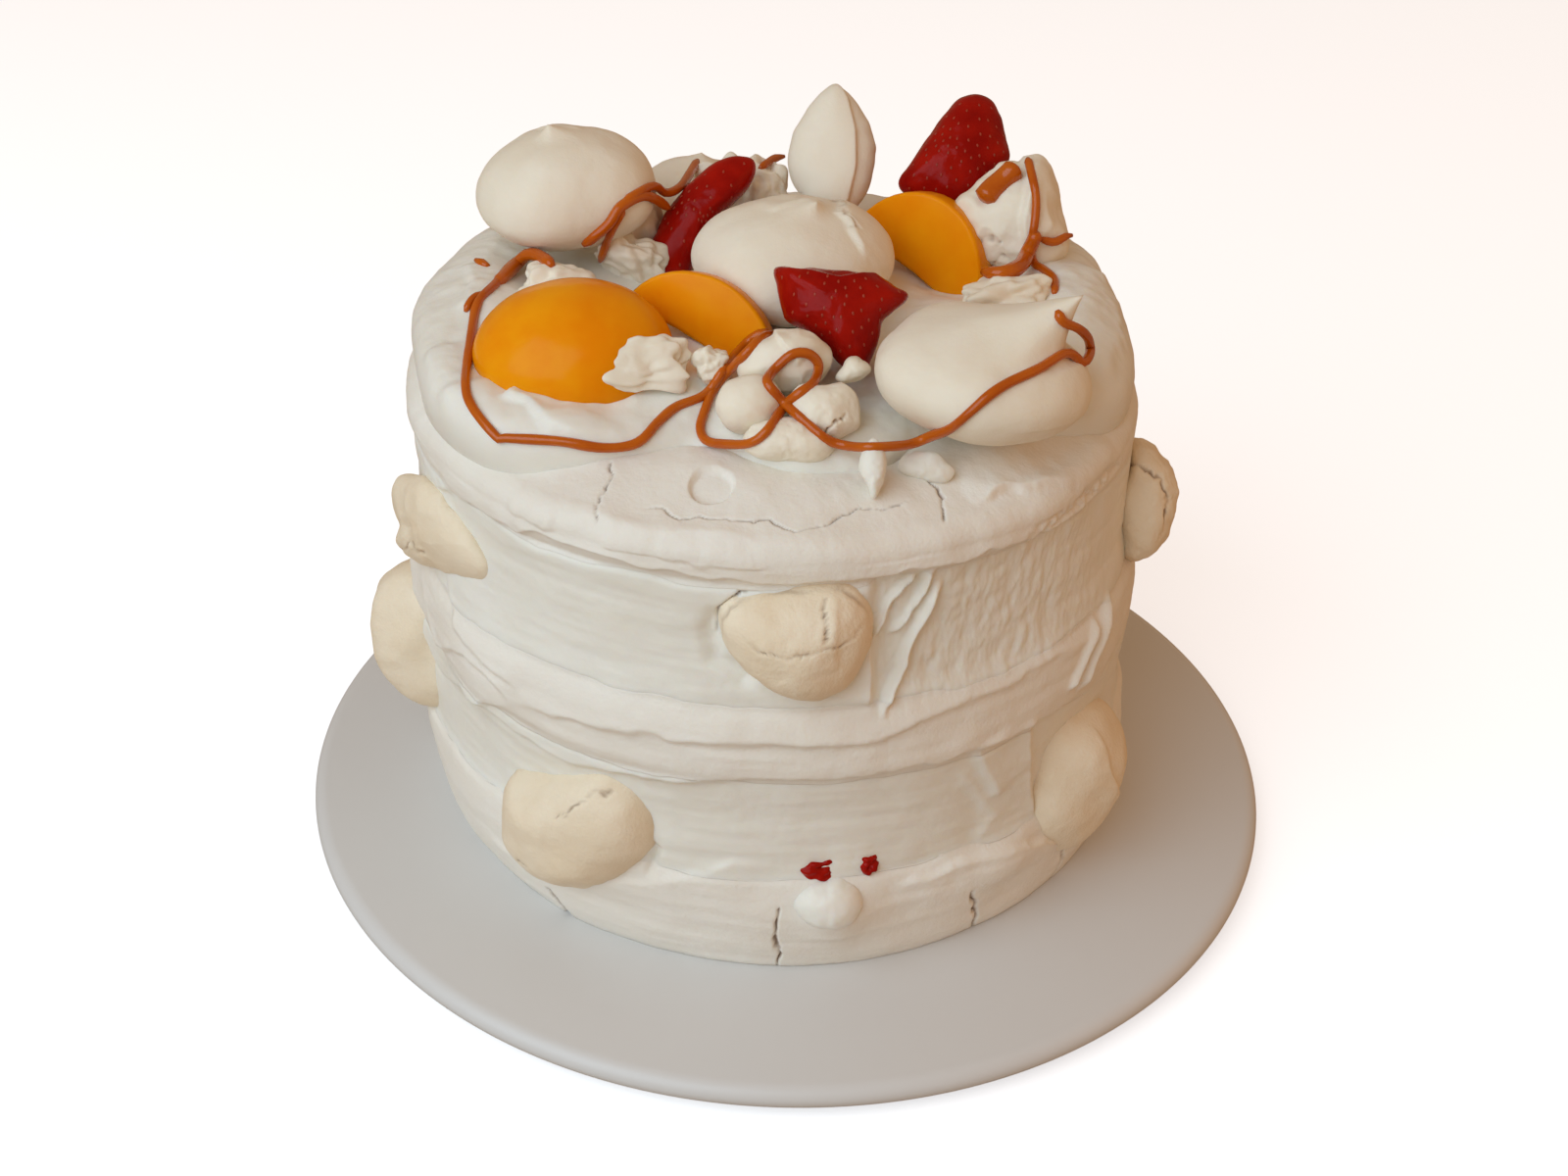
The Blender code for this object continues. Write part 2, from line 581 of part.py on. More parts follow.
def strand(points: list[Vector], width: float, name: str, home: bpy.types.Collection) -> bpy.types.Object:
    """A tube along points, made a closed mesh."""
    curve = bpy.data.curves.new(name, "CURVE")
    curve.dimensions = "3D"
    curve.bevel_depth = width / 2
    curve.bevel_resolution = 1
    curve.use_fill_caps = True
    spline = curve.splines.new("POLY")
    spline.points.add(len(points) - 1)
    for slot, point in zip(spline.points, points):
        slot.co = (*point, 1.0)
    guide = bpy.data.objects.new(f"{name}_guide", curve)
    home.objects.link(guide)
    graph = bpy.context.evaluated_depsgraph_get()
    mesh = bpy.data.meshes.new_from_object(guide.evaluated_get(graph))
    bpy.data.objects.remove(guide, do_unlink=True)
    bm = bmesh.new()
    bm.from_mesh(mesh)
    bmesh.ops.remove_doubles(bm, verts=bm.verts, dist=0.00001)
    bmesh.ops.recalc_face_normals(bm, faces=bm.faces)
    bm.to_mesh(mesh)
    bm.free()
    tube = bpy.data.objects.new(name, mesh)
    tube.hide_render = True
    tube.display_type = "WIRE"
    home.objects.link(tube)
    return tube


def drizzle_caramel(pieces: list[bpy.types.Object], home: bpy.types.Collection) -> None:
    """Fuses each stretch of the caramel strand to the piece that it lies on, clear of the others."""
    by_name = {piece.name: piece for piece in pieces}
    stretches = []
    for route in CARAMEL_ROUTES:
        stretches += dropped(smooth_route(route, CARAMEL_STEP), pieces)
    laid = []
    for index, (name, points) in enumerate(stretches):
        tube = strand(points, CARAMEL_WIDTH, f"caramel_{index:02d}", home)
        seat = strand(points, CARAMEL_WIDTH + 2 * GAP, f"seat_of_caramel_{index:02d}", home)
        for other in pieces:
            if other.name != name and boxes_meet(tube, other):
                combine(tube, grown_copy(other, GAP, home), "DIFFERENCE", "MANIFOLD")
        for owner, earlier in laid:
            if owner != name and boxes_meet(tube, earlier):
                combine(tube, earlier, "DIFFERENCE", "MANIFOLD")
        if not tube.data.polygons:
            continue
        keep_largest(tube)
        combine(by_name[name], tube, "UNION", "MANIFOLD")
        keep_largest(by_name[name])
        laid.append((name, seat))


def main() -> None:
    """Builds the plate, the stack, what is pressed into its side and what lies on top."""
    for thing in list(bpy.data.objects):
        bpy.data.objects.remove(thing, do_unlink=True)
    cake = bpy.data.collections.new("meringue_cake")
    cutters = bpy.data.collections.new("seats_and_cutters")
    for home in (cake, cutters):
        bpy.context.scene.collection.children.link(home)
    cutters.hide_render = True

    build_plate(cake)
    layers = {}
    for name in LAYER_LEVELS:
        layers[name] = build_layer(name, MERINGUE if "disc" in name else CREAM, cake)

    envelope = build_envelope(cutters)
    envelope.hide_render = True
    envelope.display_type = "WIRE"
    for kiss in build_side_kisses(cake):
        combine(kiss, envelope, "DIFFERENCE")
        keep_largest(kiss)
    for bit in build_filling_bits(cake):
        seat = grown_copy(bit, GAP, cutters)
        combine(layers["lower_cream_layer"], seat, "DIFFERENCE")
    simplified(layers["lower_cream_layer"], LAYER_FLATNESS)

    toppings = build_top_toppings(cake)
    top_cream = build_top_cream(cake)
    disc_seat = grown_copy(layers["top_meringue_disc"], GAP, cutters)
    for piece in toppings + [top_cream]:
        grown_copy(piece, GAP, cutters)
    for index, piece in enumerate(toppings):
        for earlier in toppings[:index]:
            if boxes_meet(piece, earlier):
                combine(piece, grown_copy(earlier, GAP, cutters), "DIFFERENCE")
        if boxes_meet(piece, layers["top_meringue_disc"]):
            combine(piece, disc_seat, "DIFFERENCE")
        keep_largest(piece)
        simplified(piece, TOPPING_FLATNESS)
    combine(top_cream, disc_seat, "DIFFERENCE", "MANIFOLD")
    for piece in toppings:
        combine(top_cream, grown_copy(piece, GAP, cutters), "DIFFERENCE", "MANIFOLD")
    keep_largest(top_cream)
    simplified(top_cream, LAYER_FLATNESS)
    drizzle_caramel([top_cream, layers["top_meringue_disc"]] + toppings, cutters)


main()
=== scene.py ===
"""The look of a meringue layer cake on its plate: spread cream, baked discs and kisses, fruit and caramel.

Shapes are worked out in millimetres about the middle of the plate's underside and written in metres.
"""

import logging
from dataclasses import dataclass
from enum import Enum
from math import cos, pi, radians, sin

import bmesh
import bpy
import numpy as np
from mathutils import Euler, Matrix, Vector, noise
from mathutils.bvhtree import BVHTree


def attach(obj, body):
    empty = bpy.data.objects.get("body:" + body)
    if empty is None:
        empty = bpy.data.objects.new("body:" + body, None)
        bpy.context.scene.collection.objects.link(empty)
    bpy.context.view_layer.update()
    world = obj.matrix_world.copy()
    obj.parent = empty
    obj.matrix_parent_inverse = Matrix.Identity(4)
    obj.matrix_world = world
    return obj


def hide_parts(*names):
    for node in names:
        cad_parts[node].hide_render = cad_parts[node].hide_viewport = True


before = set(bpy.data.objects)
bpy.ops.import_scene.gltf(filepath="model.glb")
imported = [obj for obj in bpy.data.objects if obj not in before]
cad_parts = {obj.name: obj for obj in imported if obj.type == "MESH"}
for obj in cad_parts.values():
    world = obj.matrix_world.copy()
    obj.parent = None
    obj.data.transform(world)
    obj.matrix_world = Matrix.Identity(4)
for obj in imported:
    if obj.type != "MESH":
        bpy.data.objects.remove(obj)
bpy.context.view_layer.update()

LOG = logging.getLogger("meringue_cake")
MM = 0.001

# The camera was fitted to the photograph: it looks down by 33.3 degrees and is rolled by 1.76.
CAMERA_PLACE = (-0.0025, -0.4703, 0.3740)
CAMERA_LENS = 45.0
CAMERA_SENSOR = 36.0
FACING = Matrix.Rotation(radians(56.7), 3, "X") @ Matrix.Rotation(radians(1.76), 3, "Z")

# The stack's measures, in millimetres above the plate or about its own leaning axis.
PLATE_HEIGHT = 10.0
CAKE_CENTRE = (-3.0, 2.0)
CAKE_LEAN = -0.036
TOP_LEVEL = 135.0
RIM_LEVEL = 124.0
SIGHT_LEVEL = 150.0
UNROLLED = 97.0
LAP = 0.5
SEAM_INSET = 0.12
FRONT_CROWDING = 28.6
# Painted shade: how strongly crack depth darkens the top disc, lumps and side kisses.
CRACK_SHADE_GAIN = 1.5
LEVELS = {
    "bottom_meringue_disc": (0.0, 31.0),
    "lower_cream_layer": (31.0, 62.0),
    "middle_meringue_disc": (62.0, 84.0),
    "upper_cream_layer": (84.0, 117.0),
    "top_meringue_disc": (117.0, 135.0),
}
Curved = np.ndarray | Vector


class Slot(Enum):
    """The record's material slots."""

    PLATE = "plate"
    CREAM = "cream"
    MERINGUE = "meringue"
    BAKED = "baked_meringue"
    PEACH = "peach"
    STRAWBERRY = "strawberry"
    CARAMEL = "caramel"


# Curves and noise on arrays


def between(before: Curved, start: Curved, end: Curved, after: Curved, share: float | np.ndarray) -> Curved:
    """A place on the smooth curve from start to end.

    Args:
        before: The place before the start.
        start: Where the share is 0.
        end: Where the share is 1.
        after: The place after the end.
        share: How far along.

    Returns:
        A place of the same kind: an array or a vector.
    """
    return 0.5 * (2 * start + (end - before) * share + (2 * before - 5 * start + 4 * end - after) * share ** 2
                  + (3 * start - before - 3 * end + after) * share ** 3)


def bump(value: np.ndarray, middle: float, width: float) -> np.ndarray:
    """A smooth hill of height 1 at middle."""
    return np.exp(-(((value - middle) / width) ** 2))


def turn_between(azimuth: np.ndarray, middle: float) -> np.ndarray:
    """The signed angle in degrees from middle to azimuth."""
    return (azimuth - middle + 180.0) % 360.0 - 180.0


def blend(value: np.ndarray, low: float, high: float) -> np.ndarray:
    """0 below low, 1 above high and a smooth step between them."""
    share = np.clip((value - low) / (high - low), 0.0, 1.0)
    return share * share * (3.0 - 2.0 * share)


def lattice(cell: np.ndarray, seed: int) -> np.ndarray:
    """A repeatable value from -1 to 1 for each whole-numbered cell."""
    mixed = (cell[:, 0] * 374761393 + cell[:, 1] * 668265263 + cell[:, 2] * 1442695041 + seed * 97531) & 0xFFFFFFFF
    mixed = ((mixed ^ (mixed >> 13)) * 1274126177) & 0xFFFFFFFF
    return ((mixed ^ (mixed >> 16)) & 0xFFFF) / 32767.5 - 1.0


def soft_noise(points: np.ndarray, seed: int) -> np.ndarray:
    """Smooth noise from about -1 to 1 with features one unit across.

    Args:
        points: An array of N by 3 places.
        seed: Which noise.

    Returns:
        N values.
    """
    cell = np.floor(points).astype(np.int64)
    part = points - cell
    part = part * part * part * (part * (part * 6.0 - 15.0) + 10.0)
    total = np.zeros(len(points))
    for corner in range(8):
        offset = np.array([corner & 1, corner >> 1 & 1, corner >> 2 & 1])
        weight = np.prod(np.where(offset, part, 1.0 - part), axis=1)
        total += weight * lattice(cell + offset, seed)
    return total


def rough_noise(points: np.ndarray, size: float, seed: int, octaves: int = 3) -> np.ndarray:
    """Layers of soft noise, the coarsest with features of a size in millimetres."""
    total = np.zeros(len(points))
    for octave in range(octaves):
        total += soft_noise(points * (2.03 ** octave / size) + 7.3 * octave, seed + octave) * 0.5 ** octave
    return total


# Lines drawn on a surface


class Mark(Enum):
    """What a line on a surface does: a lip of spread cream, a plain ridge or a crack."""

    FOLD = "fold"
    RIDGE = "ridge"
    CRACK = "crack"


@dataclass(frozen=True)
class Stroke:
    """A line on a surface, in millimetres or in the surface's own two coordinates."""

    points: tuple[tuple[float, float], ...]
    amount: float
    width: float = 1.2
    fade: float = 9.0
    mark: Mark = Mark.FOLD
    wander: float = 0.8
    seed: int = 1

    def reach(self, places: np.ndarray) -> tuple[np.ndarray, np.ndarray, np.ndarray]:
        """The distance of each place to the line, the side it lies on, and how far along it lies.

        Args:
            places: N by 2 coordinates in millimetres.

        Returns:
            Distances, sides of -1 or 1, and shares of the line's length.
        """
        flat = np.concatenate([places, np.zeros((len(places), 1))], axis=1)
        size, octaves = (3.2, 3) if self.mark is Mark.CRACK else (7.0, 2)
        drift = np.stack([rough_noise(flat, size, self.seed, octaves),
                          rough_noise(flat, size, self.seed + 9, octaves)], axis=1)
        moved = places + self.wander * drift
        best = np.full(len(places), 1e9)
        side = np.ones(len(places))
        along = np.zeros(len(places))
        points = np.array(self.points, float)
        lengths = np.linalg.norm(np.diff(points, axis=0), axis=1)
        starts = np.concatenate([[0.0], np.cumsum(lengths)])
        for start, end, length, before in zip(points, points[1:], lengths, starts):
            way = (end - start) / length
            rel = moved - start
            share = np.clip(rel @ way, 0.0, length)
            off = rel - share[:, None] * way
            gap = np.linalg.norm(off, axis=1)
            nearer = gap < best
            best = np.where(nearer, gap, best)
            side = np.where(nearer, np.sign(way[0] * off[:, 1] - way[1] * off[:, 0]), side)
            along = np.where(nearer, (before + share) / starts[-1], along)
        return best, side, along

    def height(self, places: np.ndarray) -> np.ndarray:
        """How much the line raises or lowers each place."""
        gap, side, along = self.reach(places)
        taper = blend(along, 0.0, 0.16) * (1.0 - blend(along, 0.84, 1.0))
        if self.mark is Mark.FOLD:
            shape = np.where(side > 0, np.exp(-gap / self.fade), np.exp(-((gap / self.width) ** 2)))
            return self.amount * shape * taper
        if self.mark is Mark.CRACK:
            taper = blend(along, 0.0, 0.05) * (1.0 - blend(along, 0.9, 1.0))
            opening = 0.85 + 0.3 * np.sin(along * 23.0 + self.seed)
            return -self.amount * np.exp(-((gap / self.width) ** 2)) * taper * opening
        return self.amount * np.exp(-((gap / self.width) ** 2)) * taper


def crack(points: tuple, amount: float, width: float, wander: float, seed: int) -> Stroke:
    """A crack, which cuts in by an amount."""
    return Stroke(points, amount, width, mark=Mark.CRACK, wander=wander, seed=seed)


def ridge(points: tuple, amount: float, width: float, wander: float, seed: int) -> Stroke:
    """A plain ridge, or a groove if the amount is negative."""
    return Stroke(points, amount, width, mark=Mark.RIDGE, wander=wander, seed=seed)


def drawn(marks: tuple[Stroke, ...], flat: np.ndarray, seen: np.ndarray) -> tuple[np.ndarray, np.ndarray]:
    """What lines do to a surface where it is seen.

    Args:
        marks: The lines.
        flat: N by 2 places in the lines' own coordinates.
        seen: N flags.

    Returns:
        How much each place rises, and the part of it that cracks cut in.
    """
    heights = [mark.height(flat) * seen for mark in marks]
    cuts = [height for mark, height in zip(marks, heights) if mark.mark is Mark.CRACK]
    return sum(heights, np.zeros(len(flat))), sum(cuts, np.zeros(len(flat)))


# Finishes


def node_group(name: str, inputs: dict[str, float], outputs: tuple[str, ...]) -> tuple:
    """An empty shader node group with float inputs and outputs.

    Returns:
        The group, its input node and its output node.
    """
    group = bpy.data.node_groups.new(name, "ShaderNodeTree")
    for label, value in inputs.items():
        socket = group.interface.new_socket(label, in_out="INPUT", socket_type="NodeSocketFloat")
        socket.default_value = value
    for label in outputs:
        group.interface.new_socket(label, in_out="OUTPUT", socket_type="NodeSocketFloat")
    return group, group.nodes.new("NodeGroupInput"), group.nodes.new("NodeGroupOutput")


def crumb_group() -> bpy.types.NodeTree:
    """The fine grain of baked or whipped food: a height for bumps and a mask for mottled colour."""
    group, source, result = node_group("food_grain", {"Grain": 900.0, "Mottle": 60.0}, ("Height", "Mask"))
    place = group.nodes.new("ShaderNodeTexCoord")
    grain = group.nodes.new("ShaderNodeTexNoise")
    grain.inputs["Detail"].default_value = 3.0
    mottle = group.nodes.new("ShaderNodeTexNoise")
    mottle.inputs["Detail"].default_value = 4.0
    link = group.links.new
    link(place.outputs["Object"], grain.inputs["Vector"])
    link(place.outputs["Object"], mottle.inputs["Vector"])
    link(source.outputs["Grain"], grain.inputs["Scale"])
    link(source.outputs["Mottle"], mottle.inputs["Scale"])
    link(grain.outputs["Fac"], result.inputs["Height"])
    link(mottle.outputs["Fac"], result.inputs["Mask"])
    return group


@dataclass(frozen=True)
class Finish:
    """A food or plate surface: two mottled colours, a brown painted into cracks as their shade, and how it shines."""

    name: str
    slot: Slot
    colour: tuple[float, float, float]
    mottled: tuple[float, float, float]
    # Brown painted into cracks as the shadow inside them.
    crack_shade: tuple[float, float, float] = (0.20, 0.09, 0.03)
    rough: float = 0.6
    glow: float = 0.0
    glow_radius: float = 0.004
    grain: float = 900.0
    grain_depth: float = 0.0001
    mottle: float = 60.0
    coat: float = 0.0
    shine: float = 0.4

    def material(self) -> bpy.types.Material:
        """Builds the material, or returns it if it has been built."""
        if self.name in bpy.data.materials:
            return bpy.data.materials[self.name]
        material = bpy.data.materials.new(self.name)
        material.use_nodes = True
        nodes = material.node_tree.nodes
        link = material.node_tree.links.new
        shader = nodes["Principled BSDF"]
        grain = nodes.new("ShaderNodeGroup")
        grain.node_tree = bpy.data.node_groups.get("food_grain") or crumb_group()
        grain.inputs["Grain"].default_value = self.grain
        grain.inputs["Mottle"].default_value = self.mottle
        spread = nodes.new("ShaderNodeMapRange")
        spread.inputs["From Min"].default_value = 0.35
        spread.inputs["From Max"].default_value = 0.65
        mix = nodes.new("ShaderNodeMix")
        mix.data_type = "RGBA"
        mix.inputs["A"].default_value = (*self.colour, 1.0)
        mix.inputs["B"].default_value = (*self.mottled, 1.0)
        # Painted shade: crack depth stored on the points browns the colour inside cracks.
        crack_shade_node = nodes.new("ShaderNodeAttribute")
        crack_shade_node.attribute_name = "crack_shade"
        shaded_colour = nodes.new("ShaderNodeMix")
        shaded_colour.data_type = "RGBA"
        shaded_colour.inputs["B"].default_value = (*self.crack_shade, 1.0)
        link(grain.outputs["Mask"], spread.inputs["Value"])
        link(spread.outputs["Result"], mix.inputs["Factor"])
        link(mix.outputs["Result"], shaded_colour.inputs["A"])
        link(crack_shade_node.outputs["Fac"], shaded_colour.inputs["Factor"])
        link(shaded_colour.outputs["Result"], shader.inputs["Base Color"])
        if self.grain_depth:
            relief = nodes.new("ShaderNodeBump")
            relief.inputs["Distance"].default_value = self.grain_depth
            link(grain.outputs["Height"], relief.inputs["Height"])
            link(relief.outputs["Normal"], shader.inputs["Normal"])
        shader.inputs["Roughness"].default_value = self.rough
        shader.inputs["Specular IOR Level"].default_value = self.shine
        shader.inputs["Coat Weight"].default_value = self.coat
        shader.inputs["Coat Roughness"].default_value = 0.12
        shader.inputs["Subsurface Weight"].default_value = self.glow
        shader.inputs["Subsurface Scale"].default_value = self.glow_radius
        shader.inputs["Subsurface Radius"].default_value = (1.0, 0.7, 0.45)
        return material


CREAM = Finish("whipped_cream", Slot.CREAM, (0.83, 0.795, 0.70), (0.86, 0.835, 0.755), rough=0.46, glow=0.22,
               grain=420.0, grain_depth=0.00012, mottle=34.0)
DISC = Finish("baked_disc", Slot.MERINGUE, (0.83, 0.775, 0.68), (0.86, 0.815, 0.73), rough=0.62, glow=0.12,
              grain=900.0, grain_depth=0.00014, mottle=45.0)
KISS = Finish("meringue_kiss", Slot.MERINGUE, (0.88, 0.805, 0.665), (0.85, 0.755, 0.60), rough=0.60, glow=0.15,
              grain=900.0, grain_depth=0.00008, mottle=40.0)
BAKED = Finish("baked_kiss", Slot.BAKED, (0.87, 0.755, 0.58), (0.82, 0.68, 0.49), rough=0.68, glow=0.10,
               grain=1100.0, grain_depth=0.00018, mottle=60.0)
PORCELAIN = Finish("plate_glaze", Slot.PLATE, (0.69, 0.68, 0.66), (0.69, 0.68, 0.66), rough=0.38,
                   grain_depth=0.0)
PEACH = Finish("peach_flesh", Slot.PEACH, (0.90, 0.33, 0.004), (0.86, 0.26, 0.002), rough=0.20, glow=0.30,
               glow_radius=0.006, grain=500.0, grain_depth=0.00005, mottle=70.0, coat=0.03, shine=0.06)
STRAWBERRY = Finish("strawberry_flesh", Slot.STRAWBERRY, (0.27, 0.004, 0.002), (0.37, 0.008, 0.003), rough=0.16,
                    glow=0.12, glow_radius=0.002, grain=500.0, grain_depth=0.00012, mottle=120.0, coat=0.04,
                    shine=0.06)
SEED = Finish("strawberry_seed", Slot.STRAWBERRY, (0.38, 0.04, 0.012), (0.28, 0.025, 0.01), rough=0.4,
              grain_depth=0.0)
CARAMEL = Finish("caramel_glaze", Slot.CARAMEL, (0.47, 0.085, 0.002), (0.54, 0.115, 0.004), rough=0.18, glow=0.15,
                 glow_radius=0.0015, grain=300.0, grain_depth=0.0, mottle=90.0, coat=0.2, shine=0.25)


# Meshes


def coordinates(mesh: bpy.types.Mesh) -> np.ndarray:
    """A mesh's points as an N by 3 array."""
    flat = np.empty(len(mesh.vertices) * 3)
    mesh.vertices.foreach_get("co", flat)
    return flat.reshape(-1, 3)


def set_coordinates(mesh: bpy.types.Mesh, points: np.ndarray) -> None:
    """Writes points in millimetres to a mesh, in metres."""
    mesh.vertices.foreach_set("co", (points * MM).ravel())
    mesh.update()


def mesh_from(bm: bmesh.types.BMesh, name: str) -> bpy.types.Mesh:
    """Turns a bmesh into a mesh and frees it."""
    mesh = bpy.data.meshes.new(name)
    bm.to_mesh(mesh)
    bm.free()
    return mesh


def ring_ladder(rings: int, segments: int, name: str) -> bpy.types.Mesh:
    """A flat grid to be wrapped round: azimuths along X, and along Y the rings between two points on the axis."""
    bm = bmesh.new()
    bmesh.ops.create_grid(bm, x_segments=segments, y_segments=rings + 1, size=1.0)
    bmesh.ops.scale(bm, vec=(180.0, (rings + 1) / 2, 1.0), verts=bm.verts)
    bmesh.ops.translate(bm, vec=(0.0, (rings + 1) / 2, 0.0), verts=bm.verts)
    return mesh_from(bm, name)


def ladder_places(mesh: bpy.types.Mesh) -> tuple[np.ndarray, np.ndarray]:
    """Each point's ring number and azimuth in degrees on a ring ladder."""
    points = coordinates(mesh)
    return np.rint(points[:, 1]).astype(int), points[:, 0]


def finer_in_front(azimuth: np.ndarray) -> np.ndarray:
    """Azimuths drawn together so that the front has twice as many of them."""
    return azimuth - FRONT_CROWDING * np.sin(np.radians(azimuth))


def reach_at(table: tuple[float, ...], azimuth: np.ndarray) -> np.ndarray:
    """A smooth outline's reach at angles in degrees, from its reaches in evenly spaced directions."""
    count = len(table)
    spot = (azimuth % 360.0) / 360.0 * count
    first = np.floor(spot).astype(int) % count
    share = spot - np.floor(spot)
    reaches = np.array(table)
    return between(*(reaches[(first + step) % count] for step in (-1, 0, 1, 2)), share)


def face_outwards(mesh: bpy.types.Mesh) -> None:
    """Merges doubled points and turns every face outwards."""
    bm = bmesh.new()
    bm.from_mesh(mesh)
    bmesh.ops.remove_doubles(bm, verts=bm.verts, dist=0.000002)
    bmesh.ops.recalc_face_normals(bm, faces=bm.faces)
    bm.to_mesh(mesh)
    bm.free()
    mesh.shade_smooth()


def shade_cracks(mesh: bpy.types.Mesh, cuts: np.ndarray, strength: float = 0.75) -> None:
    """Stores the painted shade in cracks for each point, from 0 to 1, by how far cracks cut in there as negative
    millimetres.
    """
    layer = mesh.attributes.new("crack_shade", "FLOAT", "POINT")
    layer.data.foreach_set("value", strength * blend(-cuts, 0.2, 1.3))


def show(mesh: bpy.types.Mesh, name: str, finish: Finish, *nodes: str) -> bpy.types.Object:
    """Makes a mesh a piece of the cake that stands for the named solids."""
    piece = bpy.data.objects.new(name, mesh)
    mesh.materials.append(finish.material())
    bpy.context.scene.collection.objects.link(piece)
    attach(piece, "root")
    if nodes:
        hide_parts(*nodes)
    LOG.info("%s: %d faces", name, len(mesh.polygons))
    return piece


def shaped(mesh: bpy.types.Mesh, points: np.ndarray, name: str, finish: Finish, *nodes: str) -> bpy.types.Object:
    """Puts a mesh's points in their places in millimetres, closes it and shows it."""
    set_coordinates(mesh, points)
    face_outwards(mesh)
    return show(mesh, name, finish, *nodes)


def on_cake(azimuth: np.ndarray, radius: np.ndarray, height: np.ndarray) -> np.ndarray:
    """Points by azimuth (0 in front, 90 at the right), radius and height above the plate."""
    angle = np.radians(azimuth)
    return np.stack([CAKE_CENTRE[0] + CAKE_LEAN * height + radius * np.sin(angle),
                     CAKE_CENTRE[1] - radius * np.cos(angle),
                     height + PLATE_HEIGHT], axis=-1)


def body_radius(height: np.ndarray) -> np.ndarray:
    """The stack's plain outline."""
    rise = height / TOP_LEVEL
    return 96.5 + 14.0 * rise * (1.0 - rise) - 1.5 * rise


def side_place(azimuth: float, height: float, sunk: float) -> np.ndarray:
    """A point by azimuth and height that lies below the side's plain outline."""
    level = np.array([height])
    return on_cake(np.array([azimuth]), body_radius(level) - sunk, level)[0]


def disc_edge(share: np.ndarray, bulge: float) -> np.ndarray:
    """How far a baked disc's edge stands out at a share of its height."""
    return bulge * (1.0 - np.abs(2.0 * share - 1.0) ** 3.0) - 0.5 * bulge


